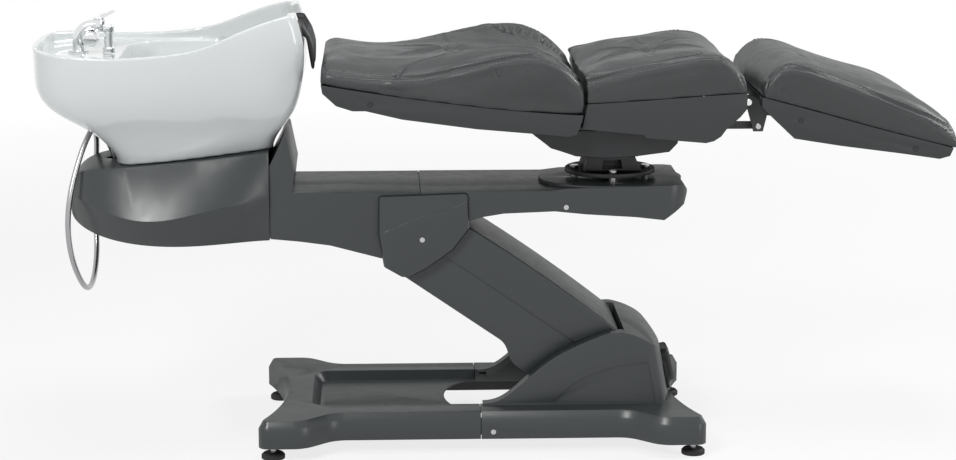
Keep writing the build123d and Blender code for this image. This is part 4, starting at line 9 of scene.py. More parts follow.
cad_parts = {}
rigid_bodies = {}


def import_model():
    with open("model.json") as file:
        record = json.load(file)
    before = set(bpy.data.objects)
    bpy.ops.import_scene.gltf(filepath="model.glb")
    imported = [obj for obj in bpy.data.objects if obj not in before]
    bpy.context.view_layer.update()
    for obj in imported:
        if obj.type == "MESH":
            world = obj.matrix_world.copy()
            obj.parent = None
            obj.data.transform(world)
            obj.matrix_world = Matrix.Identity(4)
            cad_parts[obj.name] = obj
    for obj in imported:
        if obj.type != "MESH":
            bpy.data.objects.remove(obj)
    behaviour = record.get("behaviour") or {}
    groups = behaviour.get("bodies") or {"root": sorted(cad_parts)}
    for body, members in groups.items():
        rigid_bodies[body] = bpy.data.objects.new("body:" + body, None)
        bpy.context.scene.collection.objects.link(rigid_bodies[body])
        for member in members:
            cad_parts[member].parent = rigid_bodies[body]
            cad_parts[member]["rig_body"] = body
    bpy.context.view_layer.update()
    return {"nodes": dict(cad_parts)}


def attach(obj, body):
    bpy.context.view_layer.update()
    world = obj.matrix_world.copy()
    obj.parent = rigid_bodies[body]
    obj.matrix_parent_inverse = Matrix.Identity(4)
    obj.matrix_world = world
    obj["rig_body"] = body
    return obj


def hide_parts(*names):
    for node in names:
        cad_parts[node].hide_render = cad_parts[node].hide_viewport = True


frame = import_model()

# Hair washing bed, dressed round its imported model. Metres, +X towards the feet.
nodes = frame["nodes"]
bodyOf = {name: nodes[name]["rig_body"] for name in nodes}
scene = bpy.context.scene
print("frame loaded")


# Shader nodes, joined as they are made
def mathNode(tree, operation, first, second):
    node = tree.nodes.new("ShaderNodeMath")
    node.operation = operation
    for index, value in enumerate((first, second)):
        if isinstance(value, (int, float)):
            node.inputs[index].default_value = value
        else:
            tree.links.new(value, node.inputs[index])
    return node.outputs[0]


def rangeNode(tree, value, low, high, newLow, newHigh):
    node = tree.nodes.new("ShaderNodeMapRange")
    tree.links.new(value, node.inputs["Value"])
    node.inputs["From Min"].default_value = low
    node.inputs["From Max"].default_value = high
    node.inputs["To Min"].default_value = newLow
    node.inputs["To Max"].default_value = newHigh
    return node.outputs[0]


def noiseNode(tree, vector, scale, detail, rough=0.5):
    node = tree.nodes.new("ShaderNodeTexNoise")
    tree.links.new(vector, node.inputs["Vector"])
    if isinstance(scale, (int, float)):
        node.inputs["Scale"].default_value = scale
    else:
        tree.links.new(scale, node.inputs["Scale"])
    node.inputs["Detail"].default_value = detail
    node.inputs["Roughness"].default_value = rough
    return node


# Camera at the photograph's place, with lamps round the bed
cameraLook = {
    "place": (-0.2434, -5.375, 1.5027), "tiltDown": 11.156, "turnRight": 2.315,
    "lens": 94.14, "sensor": 36, "reach": 60,
}
bpy.ops.object.camera_add(location=cameraLook["place"])
camera = bpy.context.object
camera.rotation_euler = (math.radians(90 - cameraLook["tiltDown"]), 0, math.radians(-cameraLook["turnRight"]))
camera.data.lens = cameraLook["lens"]
camera.data.sensor_width = cameraLook["sensor"]
camera.data.clip_end = cameraLook["reach"]
scene.camera = camera
scene.view_settings.view_transform = "Standard"

lampTarget = Vector((0, 0, 0.55))
lamps = [
    {"name": "keyLamp", "place": (-2.2, -4.0, 3.6), "size": 1.5, "watts": 150},
    {"name": "topLamp", "place": (0.0, -0.6, 4.6), "size": 2.0, "watts": 70},
    {"name": "fillLamp", "place": (3.6, -3.4, 1.2), "size": 1.4, "watts": 26},
    {"name": "rightLamp", "place": (4.4, 1.6, 3.0), "size": 1.4, "watts": 130},
]
for lamp in lamps:
    bpy.ops.object.light_add(type="AREA", location=lamp["place"])
    light = bpy.context.object
    light.name = lamp["name"]
    light.data.size = lamp["size"]
    light.data.energy = lamp["watts"]
    light.rotation_mode = "QUATERNION"
    light.rotation_quaternion = (lampTarget - light.location).to_track_quat("-Z", "Y")

background = {"ambient": 0.12, "white": 1.0}
world = bpy.data.worlds.new("paleRoom")
scene.world = world
world.use_nodes = True
tree = world.node_tree
tree.nodes.clear()
path = tree.nodes.new("ShaderNodeLightPath")
seen = mathNode(tree, "MAXIMUM", path.outputs["Is Camera Ray"], path.outputs["Is Transmission Ray"])
seen = mathNode(tree, "MAXIMUM", seen, path.outputs["Is Glossy Ray"])
mixBack = tree.nodes.new("ShaderNodeMixShader")
worldOut = tree.nodes.new("ShaderNodeOutputWorld")
tree.links.new(seen, mixBack.inputs["Fac"])
for index, strength in enumerate((background["ambient"], background["white"])):
    shade = tree.nodes.new("ShaderNodeBackground")
    shade.inputs["Color"].default_value = (1, 1, 1, 1)
    shade.inputs["Strength"].default_value = strength
    tree.links.new(shade.outputs[0], mixBack.inputs[index + 1])
tree.links.new(mixBack.outputs[0], worldOut.inputs["Surface"])

# The floor's paint keeps the shadow near the bed and fades into white further out
floorLook = {
    "width": 28, "paint": (0.93, 0.93, 0.94, 1), "rough": 0.9, "specular": 0.02,
    "glow": 0.8, "whiteFrom": 2.2, "whiteTo": 5,
}
bpy.ops.mesh.primitive_plane_add(size=floorLook["width"], location=(0, 0, 0))
floor = bpy.context.object
floor.name = "studioFloor"
floorPaint = bpy.data.materials.new("floorPaint")
floorPaint.use_nodes = True
tree = floorPaint.node_tree
paint = tree.nodes["Principled BSDF"]
paint.inputs["Base Color"].default_value = floorLook["paint"]
paint.inputs["Roughness"].default_value = floorLook["rough"]
paint.inputs["Specular IOR Level"].default_value = floorLook["specular"]
path = tree.nodes.new("ShaderNodeLightPath")
seen = mathNode(tree, "MAXIMUM", path.outputs["Is Camera Ray"], path.outputs["Is Glossy Ray"])
spot = tree.nodes.new("ShaderNodeTexCoord")
distance = tree.nodes.new("ShaderNodeVectorMath")
distance.operation = "LENGTH"
tree.links.new(spot.outputs["Object"], distance.inputs[0])
fade = rangeNode(
    tree, distance.outputs["Value"], floorLook["whiteFrom"], floorLook["whiteTo"], floorLook["glow"], 1,
)
share = mathNode(tree, "MULTIPLY", seen, fade)
glow = tree.nodes.new("ShaderNodeEmission")
glow.inputs["Strength"].default_value = 1
both = tree.nodes.new("ShaderNodeMixShader")
tree.links.new(share, both.inputs["Fac"])
tree.links.new(paint.outputs[0], both.inputs[1])
tree.links.new(glow.outputs[0], both.inputs[2])
tree.links.new(both.outputs[0], tree.nodes["Material Output"].inputs["Surface"])
floor.data.materials.append(floorPaint)
print("camera, lamps and floor set")


# Shared effects, which put out heights, tones and gloss that vary over a surface
def newGroup(name, sockets, results):
    group = bpy.data.node_groups.new(name, "ShaderNodeTree")
    for title, value in sockets:
        socket = group.interface.new_socket(name=title, in_out="INPUT", socket_type="NodeSocketFloat")
        socket.default_value = value
    for title in results:
        group.interface.new_socket(name=title, in_out="OUTPUT", socket_type="NodeSocketFloat")
    entry = group.nodes.new("NodeGroupInput")
    leave = group.nodes.new("NodeGroupOutput")
    place = group.nodes.new("ShaderNodeTexCoord").outputs["Object"]
    return group, entry, leave, place


# Moulded plastic and powder coat: a fine pebble, broad cloudiness and a little dust
grainLook = {"scale": 900, "cloud": 0.06, "cloudScale": 5.5, "dustScale": 46, "dustShare": 0.6}
grainGroup, entry, leave, place = newGroup(
    "mouldedGrain", [("Scale", grainLook["scale"]), ("Cloud", grainLook["cloud"])], ("Height", "Tone", "Rough"),
)
pebble = noiseNode(grainGroup, place, entry.outputs["Scale"], 2).outputs["Fac"]
cloud = noiseNode(grainGroup, place, grainLook["cloudScale"], 4).outputs["Fac"]
dust = noiseNode(grainGroup, place, grainLook["dustScale"], 3).outputs["Fac"]
spread = mathNode(grainGroup, "SUBTRACT", cloud, 0.5)
tone = mathNode(grainGroup, "MULTIPLY", spread, entry.outputs["Cloud"])
dustPart = mathNode(grainGroup, "MULTIPLY", dust, grainLook["dustShare"])
cloudPart = mathNode(grainGroup, "MULTIPLY", cloud, 1 - grainLook["dustShare"])
grainGroup.links.new(pebble, leave.inputs["Height"])
grainGroup.links.new(mathNode(grainGroup, "ADD", tone, 0.5), leave.inputs["Tone"])
grainGroup.links.new(mathNode(grainGroup, "ADD", dustPart, cloudPart), leave.inputs["Rough"])

# Leather: cells with creases between them, bent a little, over slow unevenness
leatherLook = {
    "scale": 520, "crease": 1, "creaseWidth": 0.12, "bendScale": 140, "bend": 0.004, "slowScale": 26,
    "slowRough": 0.6, "slowHeight": 0.9, "creaseTone": 0.25, "slowTone": 0.6,
}
leatherGroup, entry, leave, place = newGroup(
    "leatherGrain", [("Scale", leatherLook["scale"]), ("Crease", leatherLook["crease"])],
    ("Height", "Tone", "Rough"),
)
wobble = noiseNode(leatherGroup, place, leatherLook["bendScale"], 2)
bend = leatherGroup.nodes.new("ShaderNodeMixRGB")
bend.blend_type = "LINEAR_LIGHT"
bend.inputs["Fac"].default_value = leatherLook["bend"]
cells = leatherGroup.nodes.new("ShaderNodeTexVoronoi")
cells.feature = "DISTANCE_TO_EDGE"
leatherGroup.links.new(place, bend.inputs["Color1"])
leatherGroup.links.new(wobble.outputs["Color"], bend.inputs["Color2"])
leatherGroup.links.new(bend.outputs[0], cells.inputs["Vector"])
leatherGroup.links.new(entry.outputs["Scale"], cells.inputs["Scale"])
crease = rangeNode(leatherGroup, cells.outputs["Distance"], 0, leatherLook["creaseWidth"], 0, 1)
slow = noiseNode(leatherGroup, place, leatherLook["slowScale"], 4, leatherLook["slowRough"]).outputs["Fac"]
creaseHeight = mathNode(leatherGroup, "MULTIPLY", crease, entry.outputs["Crease"])
slowHeight = mathNode(leatherGroup, "MULTIPLY", slow, leatherLook["slowHeight"])
creaseTone = mathNode(leatherGroup, "MULTIPLY", crease, leatherLook["creaseTone"])
slowTone = mathNode(leatherGroup, "MULTIPLY", slow, leatherLook["slowTone"])
leatherGroup.links.new(mathNode(leatherGroup, "ADD", creaseHeight, slowHeight), leave.inputs["Height"])
leatherGroup.links.new(mathNode(leatherGroup, "ADD", creaseTone, slowTone), leave.inputs["Tone"])
leatherGroup.links.new(slow, leave.inputs["Rough"])


finishLook = {
    "metal": 0, "coat": 0, "coatRough": 0.1, "sheen": 0, "sheenRough": 0.4, "specular": 0.5,
    "bump": 0, "bumpHeight": 0.0006, "graze": None, "grazeFrom": 0.45, "grazeTo": 0.78,
    "roughFrom": 0.3, "roughTo": 0.7, "group": grainGroup, "values": {},
}


def makeFinish(name, **chosen):
    # One Principled surface whose colour, gloss and bump come from a shared group
    look = {**finishLook, **chosen}
    finish = bpy.data.materials.new(name)
    finish.use_nodes = True
    tree = finish.node_tree
    shader = tree.nodes["Principled BSDF"]
    shader.inputs["Metallic"].default_value = look["metal"]
    shader.inputs["Coat Weight"].default_value = look["coat"]
    shader.inputs["Coat Roughness"].default_value = look["coatRough"]
    shader.inputs["Sheen Weight"].default_value = look["sheen"]
    shader.inputs["Sheen Roughness"].default_value = look["sheenRough"]
    shader.inputs["Specular IOR Level"].default_value = look["specular"]
    if look["graze"] is not None:
        # A dull surface mirrors little of the room along a flat view
        view = tree.nodes.new("ShaderNodeLayerWeight")
        view.inputs["Blend"].default_value = 0.5
        dull = rangeNode(
            tree, view.outputs["Facing"], look["grazeFrom"], look["grazeTo"], look["specular"], look["graze"],
        )
        tree.links.new(dull, shader.inputs["Specular IOR Level"])
    effect = tree.nodes.new("ShaderNodeGroup")
    effect.node_tree = look["group"]
    for title, value in look["values"].items():
        effect.inputs[title].default_value = value
    blend = tree.nodes.new("ShaderNodeMixRGB")
    blend.inputs["Color1"].default_value = (*look["low"], 1)
    blend.inputs["Color2"].default_value = (*look["high"], 1)
    tree.links.new(effect.outputs["Tone"], blend.inputs["Fac"])
    tree.links.new(blend.outputs[0], shader.inputs["Base Color"])
    gloss = rangeNode(tree, effect.outputs["Rough"], look["roughFrom"], look["roughTo"], *look["rough"])
    tree.links.new(gloss, shader.inputs["Roughness"])
    if look["bump"]:
        relief = tree.nodes.new("ShaderNodeBump")
        relief.inputs["Strength"].default_value = look["bump"]
        relief.inputs["Distance"].default_value = look["bumpHeight"]
        tree.links.new(effect.outputs["Height"], relief.inputs["Height"])
        tree.links.new(relief.outputs[0], shader.inputs["Normal"])
    return finish


graphite = makeFinish(
    "graphiteCover", low=(0.032, 0.037, 0.038), high=(0.043, 0.049, 0.050), rough=(0.27, 0.36), bump=0.05,
    graze=0.02,
)
shellGrey = makeFinish(
    "shellGrey", low=(0.021, 0.024, 0.025), high=(0.030, 0.034, 0.035), rough=(0.30, 0.38), bump=0.05,
    graze=0.02,
)
darkPlastic = makeFinish(
    "darkPlastic", low=(0.008, 0.009, 0.010), high=(0.014, 0.015, 0.017), rough=(0.42, 0.55), bump=0.3,
    values={"Scale": 1400}, graze=0.006,
)
socketBlack = makeFinish(
    "socketBlack", low=(0.008, 0.008, 0.009), high=(0.014, 0.014, 0.015), rough=(0.35, 0.5), bump=0.1,
    graze=0.006,
)
powderCoat = makeFinish(
    "powderCoat", low=(0.018, 0.019, 0.020), high=(0.028, 0.029, 0.031), rough=(0.40, 0.52), bump=0.35,
    values={"Scale": 2200}, graze=0.006,
)
steel = makeFinish(
    "groundSteel", low=(0.46, 0.46, 0.47), high=(0.62, 0.62, 0.63), rough=(0.24, 0.38), metal=1, bump=0.08,
    values={"Cloud": 0.5},
)
screwSteel = makeFinish(
    "screwSteel", low=(0.42, 0.42, 0.43), high=(0.60, 0.60, 0.61), rough=(0.20, 0.34), metal=1,
    values={"Cloud": 0.5},
)
chrome = makeFinish(
    "polishedChrome", low=(0.72, 0.73, 0.74), high=(0.82, 0.83, 0.84), rough=(0.05, 0.09), metal=1,
    values={"Cloud": 0.3},
)
hoseMetal = makeFinish(
    "hoseMetal", low=(0.30, 0.30, 0.31), high=(0.46, 0.46, 0.47), rough=(0.22, 0.34), metal=1,
    values={"Cloud": 0.6},
)
glaze = makeFinish(
    "bowlGlaze", low=(0.66, 0.695, 0.695), high=(0.73, 0.76, 0.76), rough=(0.06, 0.12), coat=0.5,
    coatRough=0.04, values={"Cloud": 0.5},
)
rubber = makeFinish(
    "footRubber", low=(0.010, 0.010, 0.010), high=(0.020, 0.020, 0.020), rough=(0.65, 0.8), bump=0.4,
    graze=0.006,
)
gel = makeFinish(
    "neckGel", low=(0.012, 0.012, 0.013), high=(0.022, 0.022, 0.024), rough=(0.38, 0.5), bump=0.25,
    graze=0.006,
)
# Lighter gel colour, a painted highlight for the neck rest's side turned towards +X
gelPaintedHighlight = makeFinish(
    "neckGelPaintedHighlight", low=(0.05, 0.052, 0.055), high=(0.075, 0.078, 0.082), rough=(0.4, 0.52), bump=0.25,
    graze=0.006,
)
drainGrey = makeFinish(
    "drainGrey", low=(0.50, 0.51, 0.52), high=(0.60, 0.61, 0.62), rough=(0.35, 0.5), bump=0.2,
)
leather = makeFinish(
    "seatLeather", low=(0.012, 0.015, 0.0155), high=(0.027, 0.032, 0.033), rough=(0.27, 0.40), bump=0.4,
    group=leatherGroup, sheen=0.02, coat=0.15, coatRough=0.3, graze=0.05,
)
thread = makeFinish(
    "seamThread", low=(0.13, 0.14, 0.14), high=(0.18, 0.19, 0.19), rough=(0.6, 0.75), bump=0.3, graze=0.006,
)
print("finishes made")


def pickOnly(piece):
    if bpy.context.object and bpy.context.object.mode != "OBJECT":
        bpy.ops.object.mode_set(mode="OBJECT")
    bpy.ops.object.select_all(action="DESELECT")
    piece.select_set(True)
    bpy.context.view_layer.objects.active = piece


weldLook = {"gap": 0.00002, "flat": 0.6}


def copyOfNode(nodeName, pieceName):
    # A welded copy of a CAD solid, which then stands for it
    piece = bpy.data.objects.new(pieceName, nodes[nodeName].data.copy())
    scene.collection.objects.link(piece)
    pickOnly(piece)
    bpy.ops.object.mode_set(mode="EDIT")
    bpy.ops.mesh.select_all(action="SELECT")
    bpy.ops.mesh.remove_doubles(threshold=weldLook["gap"])
    bpy.ops.mesh.customdata_custom_splitnormals_clear()
    bpy.ops.object.mode_set(mode="OBJECT")
    return piece


def settle(piece, nodeName, finish, smoothAngle):
    pickOnly(piece)
    piece.data.materials.clear()
    piece.data.materials.append(finish)
    bpy.ops.object.shade_smooth_by_angle(angle=math.radians(smoothAngle))
    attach(piece, bodyOf[nodeName])
    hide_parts(nodeName)


def roundEdges(piece, width):
    pickOnly(piece)
    bpy.ops.object.mode_set(mode="EDIT")
    bpy.ops.mesh.select_all(action="SELECT")
    bpy.ops.mesh.dissolve_limited(angle_limit=math.radians(weldLook["flat"]))
    bpy.ops.object.mode_set(mode="OBJECT")
    bevel = piece.modifiers.new("edge", "BEVEL")
    bevel.width = width
    bevel.segments = coverLook["segments"]
    bevel.limit_method = "ANGLE"
    bevel.angle_limit = math.radians(coverLook["sharp"])
    bevel.use_clamp_overlap = True
    bpy.ops.object.modifier_apply(modifier="edge")


def softened(nodeName, pieceName, voxel, rounds):
    # A copy whose edges melt into even cells
    piece = copyOfNode(nodeName, pieceName)
    piece.data.remesh_voxel_size = voxel
    bpy.ops.object.voxel_remesh()
    soft = piece.modifiers.new("soften", "SMOOTH")
    soft.factor = 0.5
    soft.iterations = rounds
    bpy.ops.object.modifier_apply(modifier="soften")
    return piece


# Covers, shells and metal parts keep their CAD form and get the edge radius of the real part
coverLook = {"segments": 3, "sharp": 30, "smooth": 32}
dressed = [
    ("base_front_cover", "frontBaseCover", graphite, 0.003),
    ("base_rear_cover", "rearBaseCover", graphite, 0.003),
    ("arm_upper_cover", "upperArmCover", graphite, 0.0012),
    ("arm_lower_cover", "lowerArmCover", graphite, 0.0012),
    ("bowl_pedestal_cover", "pedestalCover", graphite, 0.003),
    ("seat_boom_cover", "seatBoomCover", graphite, 0.003),
    ("knuckle_cover_near", "nearKnuckleCover", graphite, 0.0015),
    ("knuckle_cover_far", "farKnuckleCover", graphite, 0.0015),
    ("seat_lower_pan", "underSeatPan", darkPlastic, 0.0015),
    ("seat_shell", "seatShellCover", shellGrey, 0.0015),
    ("backrest_shell", "backShellCover", shellGrey, 0.0015),
    ("legrest_shell", "legShellCover", shellGrey, 0.0015),
    ("mount_disc", "mountDisc", powderCoat, 0.0008),
    ("riser_bracket", "riserBracket", powderCoat, 0.0015),
    ("rear_junction_cover", "junctionCover", darkPlastic, 0.001),
    ("inlet_panel", "inletPanel", darkPlastic, 0.0006),
    ("leg_links", "legLinks", powderCoat, 0.001),
    ("mixer_body", "mixerBody", chrome, 0.0012),
    ("mixer_cap", "mixerKnob", chrome, 0.0008),
    ("mixer_lever", "mixerLever", chrome, 0.0012),
    ("spray_socket", "spraySocket", chrome, 0.001),
    ("spray_handle", "sprayHandle", chrome, 0.001),
]
for nodeName, pieceName, finish, width in dressed:
    piece = copyOfNode(nodeName, pieceName)
    roundEdges(piece, width)
    settle(piece, nodeName, finish, coverLook["smooth"])
print("covers dressed")

# Nodes that keep their CAD mesh
plain = {
    "base_frame": powderCoat, "lift_arm_frame": powderCoat, "levelling_link_bars": powderCoat,
    "actuator_body": powderCoat, "actuator_rod": chrome, "boom_frame": powderCoat, "control_box": darkPlastic,
    "foot_stems": steel, "foot_pads": rubber, "lower_pivot_shaft": steel, "lower_link_pins": steel,
    "actuator_base_pin": steel, "actuator_top_pin": steel, "upper_pivot_shaft": steel, "upper_link_pins": steel,
    "power_inlet": socketBlack, "base_cover_screws": screwSteel, "boom_cover_screws": screwSteel,
    "mount_studs": screwSteel, "drain_tailpiece": drainGrey, "drain_strainer": chrome, "water_inlets": steel,
    "seat_frame": powderCoat, "back_hinge_pins": steel, "leg_hinge_pins": chrome, "backrest_frame": powderCoat,
    "backrest_screws": darkPlastic, "legrest_brackets": powderCoat, "legrest_screws": darkPlastic,
    "leg_link_pins": screwSteel,
}
for nodeName, finish in plain.items():
    mesh = nodes[nodeName].data
    mesh.materials.clear()
    mesh.materials.append(finish)

# Bowl: remeshed so that its rims and corners take the soft radius of a glazed casting
bowlLook = {"voxel": 0.0036, "softening": 7}
bowlPiece = softened("bowl", "washBowl", bowlLook["voxel"], bowlLook["softening"])
settle(bowlPiece, "bowl", glaze, 180)
print("bowl made", len(bowlPiece.data.polygons))


# Padded pieces: the foam form swells under its cover, then seams, tufts and folds move its skin
swellLook = {
    "pressure": 4, "frames": 20, "shrink": 0.0025, "seam": 0.004, "blend": 0.05, "inward": 0.05,
    "underside": -0.4, "stitchHold": 0.006,
}


def smoothStep(share):
    return share * share * (3 - 2 * share)


def finer(piece):
    pickOnly(piece)
    fine = piece.modifiers.new("fine", "SUBSURF")
    fine.levels = 1
    bpy.ops.object.modifier_apply(modifier="fine")


def freedomOf(piece):
    # How far each point may leave its shell: none at the lower seam, all of it higher up
    under = BVHTree.FromObject(piece, bpy.context.evaluated_depsgraph_get())
    spots = [v.co.copy() for v in piece.data.vertices]
    middle = sum(spots, Vector()) / len(spots)
    shares = []
    for spot in spots:
        inside = Vector((spot.x, spot.y, 0)).lerp(Vector((middle.x, middle.y, 0)), swellLook["inward"])
        hit, _, _, _ = under.ray_cast(inside, Vector((0, 0, 1)))
        rise = 0 if hit is None else (spot.z - hit.z - swellLook["seam"]) / swellLook["blend"]
        shares.append(smoothStep(min(1, max(0, rise))))
    return shares


def onStitch(place, look):
    return (
        abs(place.y) > look["sideFrom"]
        and abs(place.z - heightOn(look["stitch"], place.x)) < swellLook["stitchHold"]
    )


def swell(piece, look):
    mesh = piece.data
    shares = freedomOf(piece)
    for vertex, normal, share in zip(mesh.vertices, [v.normal.copy() for v in mesh.vertices], shares):
        vertex.co -= normal * swellLook["shrink"] * share
    start = [v.co.copy() for v in mesh.vertices]
    pinned = piece.vertex_groups.new(name="held")
    fixed = [
        v.index for v in mesh.vertices
        if v.normal.z < swellLook["underside"] or onStitch(v.co, look) or shares[v.index] == 0
    ]
    pinned.add(fixed, 1, "REPLACE")
    cloth = piece.modifiers.new("swell", "CLOTH")
    cloth.settings.use_pressure = True
    cloth.settings.uniform_pressure_force = swellLook["pressure"]
    cloth.settings.vertex_group_mass = "held"
    cloth.settings.effector_weights.gravity = 0
    cloth.point_cache.frame_start = 1
    cloth.point_cache.frame_end = swellLook["frames"]
    for frameNumber in range(1, swellLook["frames"] + 1):
        scene.frame_set(frameNumber)
    bpy.ops.object.modifier_apply(modifier="swell")
    scene.frame_set(1)
    for vertex, rest, share in zip(piece.data.vertices, start, shares):
        moved = vertex.co - rest
        reach = min(moved.length, look["cap"]) * share
        vertex.co = rest + moved.normalized() * reach
    piece.vertex_groups.clear()


def heightOn(line, x):
    # Height of a side line at x
    if x <= line[0][0]:
        return line[0][1]
    for (x0, z0), (x1, z1) in zip(line, line[1:]):
        if x <= x1:
            share = (x - x0) / (x1 - x0)
            return z0 + (z1 - z0) * share
    return line[-1][1]


def slopeOn(line, x):
    step = 0.01
    return (heightOn(line, x + step) - heightOn(line, x - step)) / (2 * step)


def mmLine(points):
    return [(x / 1000, z / 1000) for x, z in points]


def valueOn(rows, x):
    # Values of a table of rows at x, the first entry of each row
    if x <= rows[0][0]:
        return rows[0][1:]
    for first, second in zip(rows, rows[1:]):
        if x <= second[0]:
            share = (x - first[0]) / (second[0] - first[0])
            return [a + (b - a) * share for a, b in zip(first[1:], second[1:])]
    return rows[-1][1:]


def farFrom(path, x, y):
    # Distance in plan to a path, and how far along the path that is
    best, along, run = 9, 0, 0
    for (x0, y0), (x1, y1) in zip(path, path[1:]):
        dx, dy = x1 - x0, y1 - y0
        length = math.hypot(dx, dy)
        share = min(1, max(0, ((x - x0) * dx + (y - y0) * dy) / length**2))
        gap = math.hypot(x - x0 - dx * share, y - y0 - dy * share)
        if gap < best:
            best, along = gap, run + length * share
        run += length
    return best, along


foldLook = {
    "sideLean": 0.04, "topLean": 0.12, "roll": 0.013, "sideRollWidth": 0.008, "sideRoll": 0.45,
    "planReach": 0.03, "planRollWidth": 0.009, "planRoll": 0.5,
    "pleatSway": 1.1, "pleatSwayTurns": 60, "pleatSharp": 0.6, "pleatSink": 0.3,
    "tuftReach": 4, "tuftPit": 0.5, "tuftRing": 0.9, "tuftRingWidth": 0.8, "tuftSway": 1.3, "tuftTurn": 40,
    "tuftFold": 0.16, "creaseSway": 0.006, "creaseTurns": 45, "creaseTurn": 90, "creaseReach": 5,
    "creaseRoll": 0.5, "creaseRollAt": 2.1,
}


def bell(distance, width):
    return math.exp(-((distance / width) ** 2))


def fadeOut(distance, reach):
    return math.cos(distance / reach * math.pi / 2) ** 2


def groove(gap, look, rollWidth, roll):
    # A sewn groove with a soft roll on each side
    pit = look["grooveDepth"] * bell(gap, look["grooveWidth"])
    return look["grooveDepth"] * roll * bell(abs(gap) - foldLook["roll"], rollWidth) - pit


def pleat(gap, along, width, pitch, depth):
    sway = foldLook["pleatSway"] * math.sin(along * foldLook["pleatSwayTurns"])
    wave = math.cos(2 * math.pi * along / pitch + sway)
    peak = abs(wave) ** foldLook["pleatSharp"] * math.copysign(1, wave)
    return depth * fadeOut(gap, width) * (peak - foldLook["pleatSink"])


def tuft(dx, dy, turnBy, depth, reach, folds):
    # A buttoned pit with folds that run out of it
    distance = math.hypot(dx, dy)
    if distance >= foldLook["tuftReach"] * reach:
        return 0
    turn = math.atan2(dy, dx)
    ring = bell(distance - foldLook["tuftRing"] * reach, foldLook["tuftRingWidth"] * reach)
    wave = math.cos(folds * turn + foldLook["tuftSway"] * math.sin(2 * turn + turnBy))
    return foldLook["tuftFold"] * depth * ring * wave - depth * bell(distance, foldLook["tuftPit"] * reach)


def crease(dx, dy, turnBy, length, width, lean, depth):
    along = dx * math.cos(lean) + dy * math.sin(lean)
    across = -dx * math.sin(lean) + dy * math.cos(lean)
    across += foldLook["creaseSway"] * math.sin(along * foldLook["creaseTurns"] + turnBy)
    if abs(along) >= length or abs(across) >= foldLook["creaseReach"] * width:
        return 0
    roll = foldLook["creaseRoll"] * bell(abs(across) - foldLook["creaseRollAt"] * width, width)
    return depth * fadeOut(along, length) * (roll - bell(across, width))


def sculpt(piece, look):
    # Grooves along the side stitches, and tufts, seams, pleats and creases on top
    mesh = piece.data
    normals = [v.normal.copy() for v in mesh.vertices]
    stitch = look["stitch"]
    for vertex, normal in zip(mesh.vertices, normals):
        x, y, z = vertex.co
        push = 0
        atSide = abs(normal.y) > foldLook["sideLean"] and abs(y) > look["sideFrom"]
        if atSide and stitch[0][0] <= x <= stitch[-1][0]:
            gap = (z - heightOn(stitch, x)) / math.sqrt(1 + slopeOn(stitch, x) ** 2)
            push += groove(gap, look, foldLook["sideRollWidth"], foldLook["sideRoll"])
        if normal.z > foldLook["topLean"]:
            for path in look["planSeams"]:
                gap, along = farFrom(path, x, abs(y))
                if gap < foldLook["planReach"]:
                    push += groove(gap, look, foldLook["planRollWidth"], foldLook["planRoll"])
            for path, width, pitch, depth in look["pleats"]:
                gap, along = farFrom(path, x, abs(y))
                if gap < width:
                    push += pleat(gap, along, width, pitch, depth)
            for tuftX, tuftY, *sizes in look["tufts"]:
                push += tuft(x - tuftX, y - tuftY, tuftX * foldLook["tuftTurn"], *sizes)
            for creaseX, creaseY, *sizes in look["creases"]:
                push += crease(x - creaseX, y - creaseY, creaseX * foldLook["creaseTurn"], *sizes)
        vertex.co += normal * push
    mesh.update()


# Share of its height over the side seam that the back keeps, and how far its upper edge draws in
backProfile = [
    (-0.37, 0.46, 0.024), (-0.25, 0.44, 0.028), (-0.18, 0.50, 0.024), (-0.10, 0.66, 0.014), (0.0, 0.74, 0.006),
    (0.06, 0.78, 0.004), (0.11, 0.74, 0.003), (0.15, 0.62, 0.002), (0.19, 0.55, 0),
]
backShape = {
    "edge": 0.262, "rise": 0.055, "curl": 6, "headFrom": -0.30, "headReach": 0.071, "headDraw": 0.028,
}


def lowerBack(place, line):
    seamZ = heightOn(line, place.x)
    if place.z <= seamZ:
        return place
    keep, draw = valueOn(backProfile, place.x)
    lift = smoothStep(min(1, (place.z - seamZ) / backShape["rise"]))
    x, y = place.x, place.y
    y -= math.copysign(draw * lift * min(1, abs(y) / backShape["edge"]) ** backShape["curl"], y)
    if x < backShape["headFrom"]:
        x += backShape["headDraw"] * lift * ((backShape["headFrom"] - x) / backShape["headReach"]) ** 2
    return Vector((x, y, seamZ + (place.z - seamZ) * keep))


threadLook = {
    "half": 0.0028, "thick": 0.0009, "taper": 0.35, "straight": 0.6, "proud": 0.6, "sides": 6,
    "pitch": 0.0078, "beside": 0.0055, "endGap": 0.004, "outside": 0.5,
}


def dash(work, hit, normal, ahead):
    # One thread dash: a tapered bead that lies on the skin
    half, thick, sides = threadLook["half"], threadLook["thick"], threadLook["sides"]
    taper, straight = threadLook["taper"], threadLook["straight"]
    across = normal.cross(ahead)
    rings = []
    for share, bulge in ((-1, taper), (-straight, 1), (straight, 1), (1, taper)):
        centre = hit + ahead * half * share + normal * thick * threadLook["proud"]
        turns = [k / sides * 2 * math.pi for k in range(sides)]
        rings.append([
            work.verts.new(centre + (across * math.cos(turn) + normal * math.sin(turn)) * thick * bulge)
            for turn in turns
        ])
    for a, b in zip(rings, rings[1:]):
        for k in range(sides):
            work.faces.new((a[k], a[(k + 1) % sides], b[(k + 1) % sides], b[k]))
    work.faces.new(rings[0])
    work.faces.new(list(reversed(rings[-1])))


